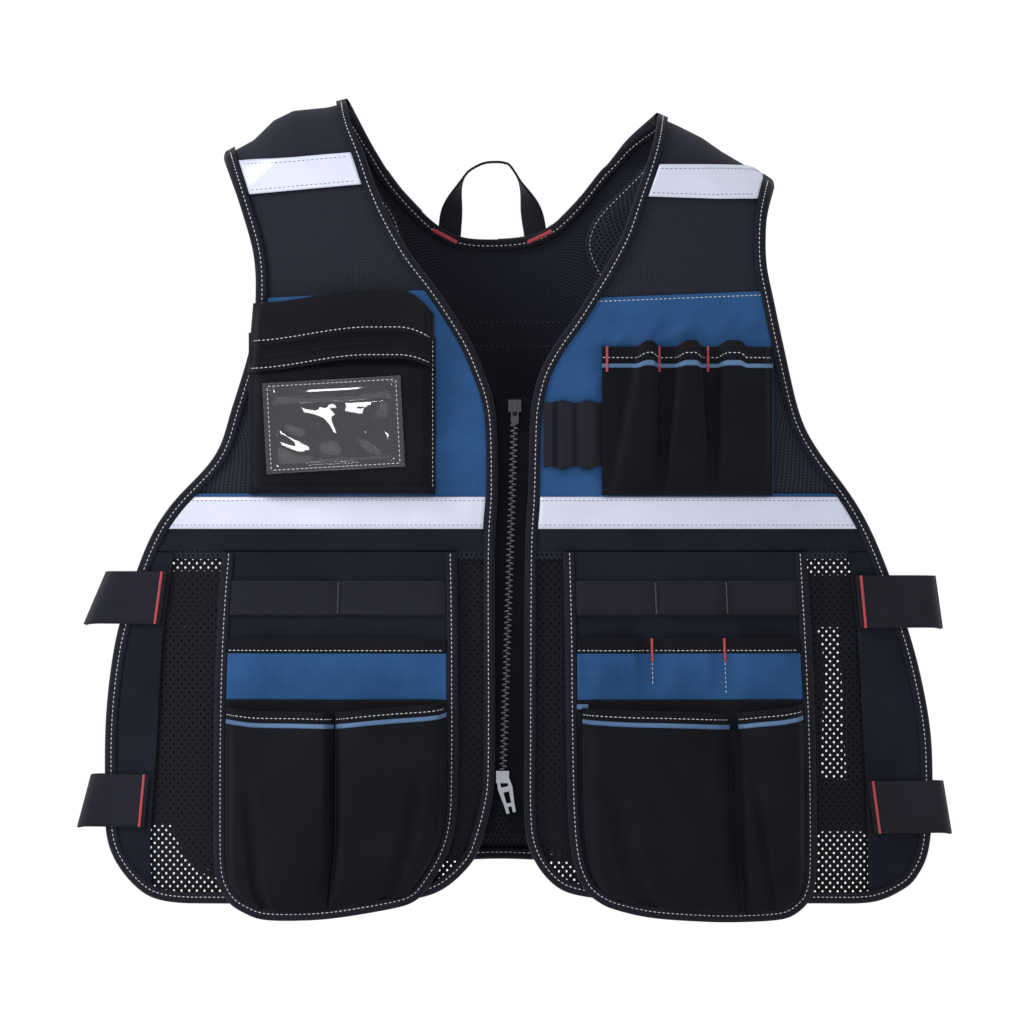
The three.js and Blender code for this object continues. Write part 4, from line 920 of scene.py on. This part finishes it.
def pocket(name, place, cells, out, finish, nodes, wall=1.1, hem=None, stitch_at=None, piping_at=None,
           lift=None, piping_nodes=()):
    """hem, stitch_at and piping_at are shares of the pocket's height; lift raises its mouth."""
    def spot(u, v):
        p = place(u, v)
        return Vector((p.x, p.y + (lift(u, v) if lift else 0)))
    skin_sheet(name, cells, spot, out, finish, wall=wall, nodes=nodes, held="gathered")
    tall = (place(0.5, 0) - place(0.5, 1)).length
    if hem:
        skin_sheet(f"{name}_hem", (cells[0], 10), lambda u, v: spot(u, v * hem),
                   lambda u, v, p: (out(u, v * hem, p)
                                    + 0.5 * math.sin(min(v * 6, 1) * math.pi / 2) * min(1, 9 * (1 - v))),
                   "pocket_cloth", wall=0.9)
    if piping_at:
        deep = PIPING_WIDTH / tall
        skin_sheet(f"{name}_piping", (cells[0], 6), lambda u, v: spot(u, piping_at + v * deep),
                   lambda u, v, p: out(u, piping_at + v * deep, p) + 0.9 * math.sin(math.pi * v) ** 0.5 + 0.15,
                   "piping", wall=0.5, nodes=piping_nodes)
    if stitch_at:
        stitch(lambda t: on_face(spot, out, t, stitch_at, 0.7))
    return spot


def tubes(spans, u, v, soft=0.035):
    """1 over each tube and 0 in the folds between. A span gives a tube's sides at the mouth and at the foot."""
    best = 0.0
    for (a0, b0), (a1, b1) in spans:
        a, b = a0 + (a1 - a0) * v, b0 + (b1 - b0) * v
        best = max(best, smoothstep(u, a, a + soft * 1.6) * (1 - smoothstep(u, b - soft, b)))
    return best


# %% Tool slots on the right chest
SLOT_SPANS = [((0.2, 0.335), (0.035, 0.335)), ((0.43, 0.59), (0.345, 0.64)), ((0.68, 0.99), (0.65, 0.99))]


def tool_face(u, v, p):
    tube = tubes(SLOT_SPANS, u, v)
    crown = 0.75 + 0.25 * math.sin(math.pi * min(max(u * 3 % 1, 0), 1))
    fall = min(0.82 + 0.7 * v, 1) * (1 - v ** 5)
    return BINDING_OUT + GAP + POCKET + 14 * fall * (0.12 + 0.88 * tube * crown) + 0.3 * crumple(p.x, p.y, 16, 9)


def tool_lift(u, v):
    raised = tubes(SLOT_SPANS[:2] + [((0.67, 0.85), (0.67, 0.85))], u, 0, 0.045)
    return 5.0 * raised ** 0.8 * (1 - smoothstep(v, 0, 0.25))


tool_place = rectangle(227, 300, 133.5, 116)
tool_spot = pocket("tool_slot_cloth", tool_place, (116, 50), tool_face, "pocket_cloth", ["tool_slots"],
                   hem=0.105, stitch_at=0.075, piping_at=0.115, lift=tool_lift,
                   piping_nodes=["tool_piping"])
for share in (0.03, 0.335, 0.62):
    bar_tack(*(on_face(tool_spot, tool_face, share, v, 1.2) for v in (0, 0.17)), wide=2.4)

# %% Elastic loops between the zip and the tool slots
ELASTIC_TALL = 52


def elastic_face(u, v, p):
    folds = hump(u, 0.22, 0.08) + hump(u, 0.57, 0.1)
    return TRIM_IN + POCKET + 3.6 * min(1, 7 * u, 7 * (1 - u)) * (1 - 0.75 * folds)


def elastic_spot(u, v):
    wave = 1.6 * math.sin(u * 15) * (1 if v > 0.5 else -0.6) * abs(2 * v - 1)
    return Vector((28.5 + u * 46, height(0.367) - v * ELASTIC_TALL + wave))


skin_sheet("elastic_band", (70, 20), elastic_spot, elastic_face, "webbing", wall=1.2, nodes=["elastic_loops"],
           held="gathered")

# %% Chest pocket with its cover
CHEST_LEFT, CHEST_WIDE = -0.622 * HALF_WIDTH, 146
chest_out = BINDING_OUT + GAP + POCKET


def chest_sag(u):
    """The pocket's level lines rise to the right and round down at the right corner."""
    return 5 * math.sin(math.pi * u * 0.8) - 8 * smoothstep(u, 0.82, 1.05)


def plateau(u, side=0.07):
    return smoothstep(min(u, 1 - u), 0, side)


def chest_spot(u, v):
    top, foot = height(0.283), height(0.483) + 2
    return Vector((CHEST_LEFT + 1 + u * CHEST_WIDE, top + (foot - top) * v + chest_sag(u) * (1 - v)))


def chest_face(u, v, p):
    """Under the cover the mouth lies flatter than the rest."""
    stand = 13.4 - 5.4 * (1 - smoothstep(v, 0.19, 0.27))
    return chest_out + stand * plateau(u) * smoothstep(1 - v, 0, 0.07) + 0.6 * crumple(p.x, p.y, 30, 10)


pocket("chest_pocket_cloth", chest_spot, (72, 60), chest_face, "pocket_cloth", ["chest_pocket"], wall=1.3)


def cover_spot(u, v):
    """The cover's level lines rise to the right, then fall, most at its rounded top corner."""
    rise = 10.5 * smoothstep(u, 0, 0.65) - (8 + 12 * (1 - v) ** 2) * max(0, (u - 0.8) / 0.2) ** 2
    across = CHEST_LEFT + u * CHEST_WIDE + 4.5 * (1 - v) * (1 - u)
    return Vector((across, height(0.247) - 54 * v + rise))


def cover_face(u, v, p):
    """From the top: a smooth flap, a sunk zip with small creases, and a lip over the pocket."""
    stand = chest_out + 15.8 * plateau(u, 0.05) * smoothstep(v, -0.2, 0.2)
    sunk = 3.6 * (smoothstep(v, 0.6, 0.64) - smoothstep(v, 0.84, 0.89)) * plateau(u, 0.03)
    creases = 0.5 * math.sin((v - 0.62) * 80) * (smoothstep(v, 0.62, 0.66) - smoothstep(v, 0.8, 0.84))
    return stand - sunk + creases * plateau(u, 0.1) + 0.6 * crumple(p.x, p.y, 26, 11)


skin_sheet("chest_pocket_cover", (80, 72), cover_spot, cover_face, "pocket_cloth", wall=1.2,
           nodes=["chest_zip_cover"], held="stretched")
for v in (0.545, 0.945):
    stitch(lambda t: on_face(cover_spot, cover_face, 0.02 + 0.96 * t, v, 0.3))
SIDE_ROW = 0.985  # share of the pocket's width at which a row runs down its right side


def side_line(t):
    p = chest_spot(SIDE_ROW, 0.02 + 0.96 * t)
    return on_skin(-1, p.x, p.y, chest_face(SIDE_ROW, t, p) + 0.6)


stitch(side_line)

# %% [markdown]
# ## Card window
# A clear soft sheet covers a card pocket. It is stitched round its rim and has a welded rectangle inside, with two
# small dimples above it. Soft vinyl is never flat, so a slow ripple lets it catch the lamps in bright patches.

# %% Window of clear sheet
WINDOW = {"left": -191, "top": height(0.34) - 3, "wide": 108, "tall": 71}
WELD_LEFT, WELD_RIGHT, WELD_TOP, WELD_FOOT = 0.09, 0.91, 0.24, 0.9  # the welded rectangle, in shares
window_base = chest_out + 14.0


def window_spot(u, v):
    """The sheet is a little out of square: it leans to the right and rises to the right."""
    return Vector((WINDOW["left"] + u * WINDOW["wide"] + 4 * v * 0.9,
                   WINDOW["top"] - v * WINDOW["tall"] + 6 * u))


def window_face(u, v, p):
    level, upright = WELD_TOP < v < WELD_FOOT, WELD_LEFT < u < WELD_RIGHT
    weld = [hump(u, a, 0.012) * level for a in (WELD_LEFT, WELD_RIGHT)]
    weld += [hump(v, a, 0.018) * upright for a in (WELD_TOP, WELD_FOOT)]
    dimple = [hump(math.hypot((u - a) * 1.5, v - 0.08), 0, 0.035) for a in (0.08, 0.92)]
    belly = 0.7 * math.sin(math.pi * u) * math.sin(math.pi * v)
    if level and upright:
        ripple = 1.6 * crumple(p.x * 1.1 + p.y * 0.5, p.y * 1.1, 21, 12)
    else:
        ripple = 1.8 * max(0, WELD_TOP - v) / WELD_TOP
    return (window_base + belly + ripple * plateau(u, 0.12) * plateau(v, 0.16)
            - 0.9 * max(weld) - 1.2 * max(dimple) + 1.2)


skin_sheet("window_vinyl", (116, 84), window_spot, window_face, "clear_sheet", wall=0.5, nodes=["window_sheet"])
frame_line = [(0.035, 0.04), (0.965, 0.04), (0.965, 0.96), (0.035, 0.96)]
for (u0, v0), (u1, v1) in zip(frame_line, frame_line[1:] + frame_line[:1]):
    stitch(lambda t: on_face(window_spot, window_face, u0 + (u1 - u0) * t, v0 + (v1 - v0) * t, 0.3))

# %% Upper pockets of the boards
UPPER_TOP, UPPER_END = height(0.655), height(0.74) - 16
BLUE_SHARE = 0.68  # below it the pocket is black, tucked in behind the lower pockets
UPPER_SPANS = [((0.03, 0.30), (0.03, 0.30)), ((0.37, 0.63), (0.37, 0.63)), ((0.69, 0.97), (0.69, 0.97))]
for hand in HANDS:
    place = level_band(boards[hand]["edges"], UPPER_TOP, UPPER_END)

    def upper_face(u, v, p, hand=hand):
        across = 0.85 * plateau(u, 0.16) if hand == "left" else tubes(UPPER_SPANS, u, v, 0.05)
        fall = 1 - smoothstep(v, 0.25, 0.72)
        return board_face(p.y) + BOARD + GAP + POCKET + 6.5 * across * fall + 0.25 * crumple(p.x, p.y, 22, 14)
    spot = pocket(f"{hand}_upper_pocket_cloth", lambda u, v: place(u, v * BLUE_SHARE), (110, 40),
                  lambda u, v, p: upper_face(u, v * BLUE_SHARE, p), "blue_cloth", [f"{hand}_upper_pocket"],
                  hem=0.25, stitch_at=0.2)
    skin_sheet(f"{hand}_upper_pocket_foot", (60, 8), lambda u, v: place(u, BLUE_SHARE + (1 - BLUE_SHARE) * v),
               lambda u, v, p: upper_face(u, BLUE_SHARE + (1 - BLUE_SHARE) * v, p), "pocket_cloth", wall=1.1)
    if hand == "right":
        for share, low in ((0.335, 0.8), (0.66, 0.94)):
            def seam_point(v, share=share):
                p = spot(share, v)
                return on_skin(-1, p.x, p.y, upper_face(share, v * BLUE_SHARE, p) + 0.9)
            bar_tack(seam_point(0), seam_point(0.38), wide=2.4)
            stitch(lambda t, seam_point=seam_point, low=low: seam_point(0.38 + (low - 0.38) * t))

# %% Lower pockets of the boards
LOWER = {"left": [("a", 0, 0.487), ("b", 0.493, 1)], "right": [("a", 0.02, 0.66), ("b", 0.695, 1)]}
MOUTH = (0.74 - BOARD_TOP) / (0.985 - BOARD_TOP)
for hand in HANDS:
    for letter, start, end in LOWER[hand]:
        def lower_spot(u, v, a=start, b=end, place=boards[hand]["place"]):
            return place(a + (b - a) * u, MOUTH + (1 - MOUTH) * v)

        def lower_face(u, v, p, hand=hand, letter=letter):
            across = smoothstep(min(u, 1 - u), 0, 0.1) * 0.75 + 0.25 * math.sin(math.pi * u)
            fall = min(0.72 + 0.9 * v, 1) * (1 - v ** 4.5)
            lean = 0.16 + 0.2 * v if (hand, letter) != ("left", "b") else 0.8 - 0.25 * v
            fold = 4.6 * hump(u, lean, 0.11) * smoothstep(v, 0.2, 0.6)
            return (board_face(p.y) + BOARD + GAP + 2 * POCKET + GAP + 17.5 * across * fall - fold
                    + 2.2 * crumple(p.x, p.y * 0.5, 36, 15) * across * smoothstep(v, 0, 0.25))

        def lower_lift(u, v):
            return 1.6 * math.sin(math.pi * u) * (1 - v)
        name = f"{hand}_lower_pocket_{letter}"
        pocket(f"{name}_cloth", lower_spot, (56, 64), lower_face, "pocket_cloth", [name], hem=0.05,
               stitch_at=0.033, piping_at=0.056, lift=lower_lift,
               piping_nodes=[f"{hand}_lower_piping_{letter}"])

# A short end of piping shows in the gap beside the left pocket of the right board.
skin_sheet("right_rear_piping", (8, 4), lambda u, v: Vector((54.5 + 9 * u, -441.2 - 4 * v)),
           lambda u, v, p: board_face(p.y) + BOARD + GAP + 2.6, "piping", wall=0.6)

# %% [markdown]
# ## Side straps and hang loop
# The straps are looped webbing that runs from each front, round the side, to the back. The hang loop is narrower
# webbing that twists until it stands edge-on at its top. Each is a ribbon: a path of centres, and a direction
# across at every step.

# %% Side straps
def through(points, t):
    """A smooth path through a few points in space, with the same share of t for each step."""
    last = len(points) - 1
    i = min(int(t * last), last - 1)
    w = t * last - i
    p0, p1, p2, p3 = (points[min(max(k, 0), last)] for k in (i - 1, i, i + 1, i + 2))
    v0, v1 = (p2 - p0) / 2, (p3 - p1) / 2
    return ((p1 - p2) * 2 * w ** 3 + (v0 + v1) * w ** 3 + (p2 - p1) * 3 * w ** 2 - (v0 * 2 + v1) * w ** 2
            + v0 * w + p1)


# Name, level, and in shares of the half width: tack and fold at the strap's two edges, back end
STRAPS = [
    ("upper_left_strap", 0.574, (-0.816, -0.833), (-0.962, -1.014), -0.6),
    ("lower_left_strap", 0.822, (-0.859, -0.871), (-1, -1.033), -0.76),
    ("upper_right_strap", 0.579, (0.837, 0.849), (1.026, 1.043), 0.61),
    ("lower_right_strap", 0.83, (0.866, 0.883), (1.046, 1.066), 0.68),
]
STRAP_OUT = BINDING_OUT + GAP + WEBBING / 2
for name, down, tack, fold, end in STRAPS:
    edges = []
    for share in (0, 1):
        z = height(down) - share * STRAP_WIDTH
        tack_x, fold_x = ((pair[0] + (pair[1] - pair[0]) * share) * HALF_WIDTH for pair in (tack, fold))
        turn_x = fold_x - math.copysign(6, fold_x)
        end_x = end * HALF_WIDTH
        front, back = on_skin(-1, turn_x, z, STRAP_OUT), on_skin(1, turn_x, z, STRAP_OUT)
        edges.append([on_skin(-1, tack_x, z, STRAP_OUT), on_skin(-1, (tack_x + turn_x) / 2, z, STRAP_OUT), front,
                      Vector((fold_x, (front.y + back.y) / 2, z - 1)), back,
                      on_skin(1, (turn_x + end_x) / 2, z, STRAP_OUT), on_skin(1, end_x, z, STRAP_OUT)])

    def ribbon(u, v, edges=edges):
        a, b = through(edges[0], u), through(edges[1], u)
        p = a.lerp(b, v)
        return p + Vector((0, -0.5 * crumple(p.x, p.z, 22, 16), 0))
    strap = cloth_piece(name + "_webbing", (72, 10), ribbon, "webbing", wall=1.7, nodes=[name], held="folded")
    strap.modifiers["wall"].offset = 0
    p, q = edges[0][0], edges[1][0]
    shift = Vector((math.copysign(4, p.x), -1.3, 0))
    bar_tack(p + shift, q + shift, wide=2.6)

# %% Hang loop
LOOP = [(-141, 180), (-133, 130), (-105, 90), (-69, 75), (-33, 71), (5, 75), (36, 100), (60, 135),
        (74, 180)]
loop_path = curve(LOOP)


def loop_ribbon(u, v):
    spot = loop_path(u)
    along = (loop_path(min(u + 0.01, 1)) - loop_path(max(u - 0.01, 0))).normalized()
    turn = math.pi / 2 * smoothstep(min(u, 1 - u), 0.08, 0.36)
    across = Vector((-along.y * math.cos(turn), -math.sin(turn), along.x * math.cos(turn)))
    return on_skin(1, spot.x, spot.y, STRAP_OUT + BINDING) + across * LOOP_WIDTH * (v - 0.5)


hang_loop = cloth_piece("hang_loop_webbing", (80, 10), loop_ribbon, "webbing", wall=1.6, nodes=["hang_loop"],
                        held="folded")
hang_loop.modifiers["wall"].offset = 0

# %% [markdown]
# ## Zip
# Two woven tapes carry a closed chain of moulded teeth. One tooth is a small bevelled block, and the rest are
# copies of it, left and right by turns. The sliders and pulls keep the shapes that the frame gives them.

# %% Zip tapes and teeth
ZIP_TOP, ZIP_END = height(0.362), height(0.893)
TOOTH, TOOTH_PITCH = (0.0042, 0.0026, 0.0016), 2.2  # metres, millimetres
CHAIN_BACK = BINDING_BACK - GAP
CHAIN_MIDDLE = CHAIN_BACK - 1.5
chain_top, chain_end = height(0.38), height(0.816)


def chain_x(z):
    return (0.0185 + (-0.0095 - 0.0185) * (chain_top - z) / (chain_top - chain_end)) * HALF_WIDTH


def beside_chain(sign):
    """The inner edge of a zip tape. The tapes part below the chain."""
    def at(t):
        z = ZIP_TOP + (ZIP_END - ZIP_TOP) * t
        apart = 4 * max(chain_end - z, 0) / (chain_end - ZIP_END)
        return Vector((chain_x(z) + sign * (1.2 + apart), z))
    return at


for hand, front_edge in (("left", inset(fronts["left"]["right"], -EDGE - 6)),
                         ("right", inset(fronts["right"]["left"], EDGE + 6))):
    edge = between(front_edge, ZIP_TOP, ZIP_END)
    sides = (edge, beside_chain(-1)) if hand == "left" else (beside_chain(1), edge)

    def zip_face(u, v, p, hand=hand):
        from_front = u if hand == "left" else 1 - u
        return CHAIN_MIDDLE + 0.5 + min(max(2 - 3 * from_front, 0), 1)
    skin_sheet(f"{hand}_zip_cloth", (12, 60), region(*sides), zip_face, "zip_tape", wall=0.8,
               nodes=[f"{hand}_zip_tape"], held="stretched")

tooth = bmesh.new()
bmesh.ops.create_cube(tooth, size=1)
bmesh.ops.bevel(tooth, geom=tooth.edges, offset=0.22, segments=1, profile=0.5, affect="EDGES", material=-1)
tooth_places = []
for n in range(int((chain_top - chain_end) / TOOTH_PITCH)):
    z = chain_top - (n + 0.5) * TOOTH_PITCH
    side = 1 if n % 2 else -1
    place = Matrix.Translation(on_skin(-1, chain_x(z) + side * 1.1, z, CHAIN_MIDDLE + 0.2) * MM)
    tooth_places.append(place @ Matrix.Rotation(math.radians(12 * side), 4, "Y") @ Matrix.Diagonal((*TOOTH, 1)))
chain_data = copies("zip_teeth", as_mesh("tooth", tooth), tooth_places)
finish_piece(bpy.data.objects.new("zip_teeth", chain_data), "zip_teeth", ["zip_chain"])

# %% Sliders and pulls keep the frame's shapes
for node, finish in (("top_slider", "black_metal"), ("top_pull", "black_metal"),
                     ("lower_slider", "bright_metal"), ("lower_pull", "bright_metal")):
    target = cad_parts[node]
    target.data.materials.clear()
    target.data.materials.append(finishes[finish])

# %% [markdown]
# ## Gathering the thread
# Each dash is a copy of one small faceted ball, stretched to the length of a stitch. Twenty faces are enough,
# because a stitch is less than four pixels long in the picture.

# %% Thread objects
ball = bmesh.new()
bmesh.ops.create_icosphere(ball, subdivisions=1, radius=0.5)
ball_data = as_mesh("dash", ball)
for colour, places in dashes.items():
    rows = bpy.data.objects.new(f"{colour}_stitches", copies(colour, ball_data, places))
    finish_piece(rows, colour)
    print(colour, len(places), "stitches")

# %% [markdown]
# ## Floor and lamps
# The floor is one large white sheet under the hanging vest. The surroundings are as white as the floor, so no
# edge shows behind the vest. A soft lamp from the upper left models the folds, and a second one glints in the
# card window.

# %% Floor and lamps
floor = bmesh.new()
bmesh.ops.create_grid(floor, x_segments=2, y_segments=2, size=6)
bmesh.ops.translate(floor, verts=floor.verts, vec=(0, 0, -0.72))
white_floor = bpy.data.objects.new("floor", as_mesh("floor", floor))
floor_finish = new_finish("white matt floor", Roughness=1.0, Specular_IOR_Level=0.0, Base_Color=[1, 1, 1, 1])[0]
white_floor.data.materials.append(floor_finish)
bpy.context.scene.collection.objects.link(white_floor)

world = bpy.data.worlds.new("studio")
world.use_nodes = True
sky = world.node_tree.nodes["Background"].inputs
sky["Color"].default_value, sky["Strength"].default_value = [1, 1, 1, 1], 1.0
bpy.context.scene.world = world


def lamp(name, place, aim, size, power):
    data = bpy.data.lights.new(name, "AREA")
    data.shape, data.size, data.size_y, data.energy = "RECTANGLE", size[0], size[1], power
    light = bpy.data.objects.new(name, data)
    light.location = place
    light.rotation_euler = (Vector(aim) - Vector(place)).to_track_quat("-Z", "Y").to_euler()
    bpy.context.scene.collection.objects.link(light)


lamp("key", (-2.3, -1.4, 1.8), (0, 0, -0.3), (0.8, 0.8), 70)
lamp("window_glint", (-1.5, -3.8, 0.3), (-0.14, -0.09, -0.22), (0.5, 0.5), 16)
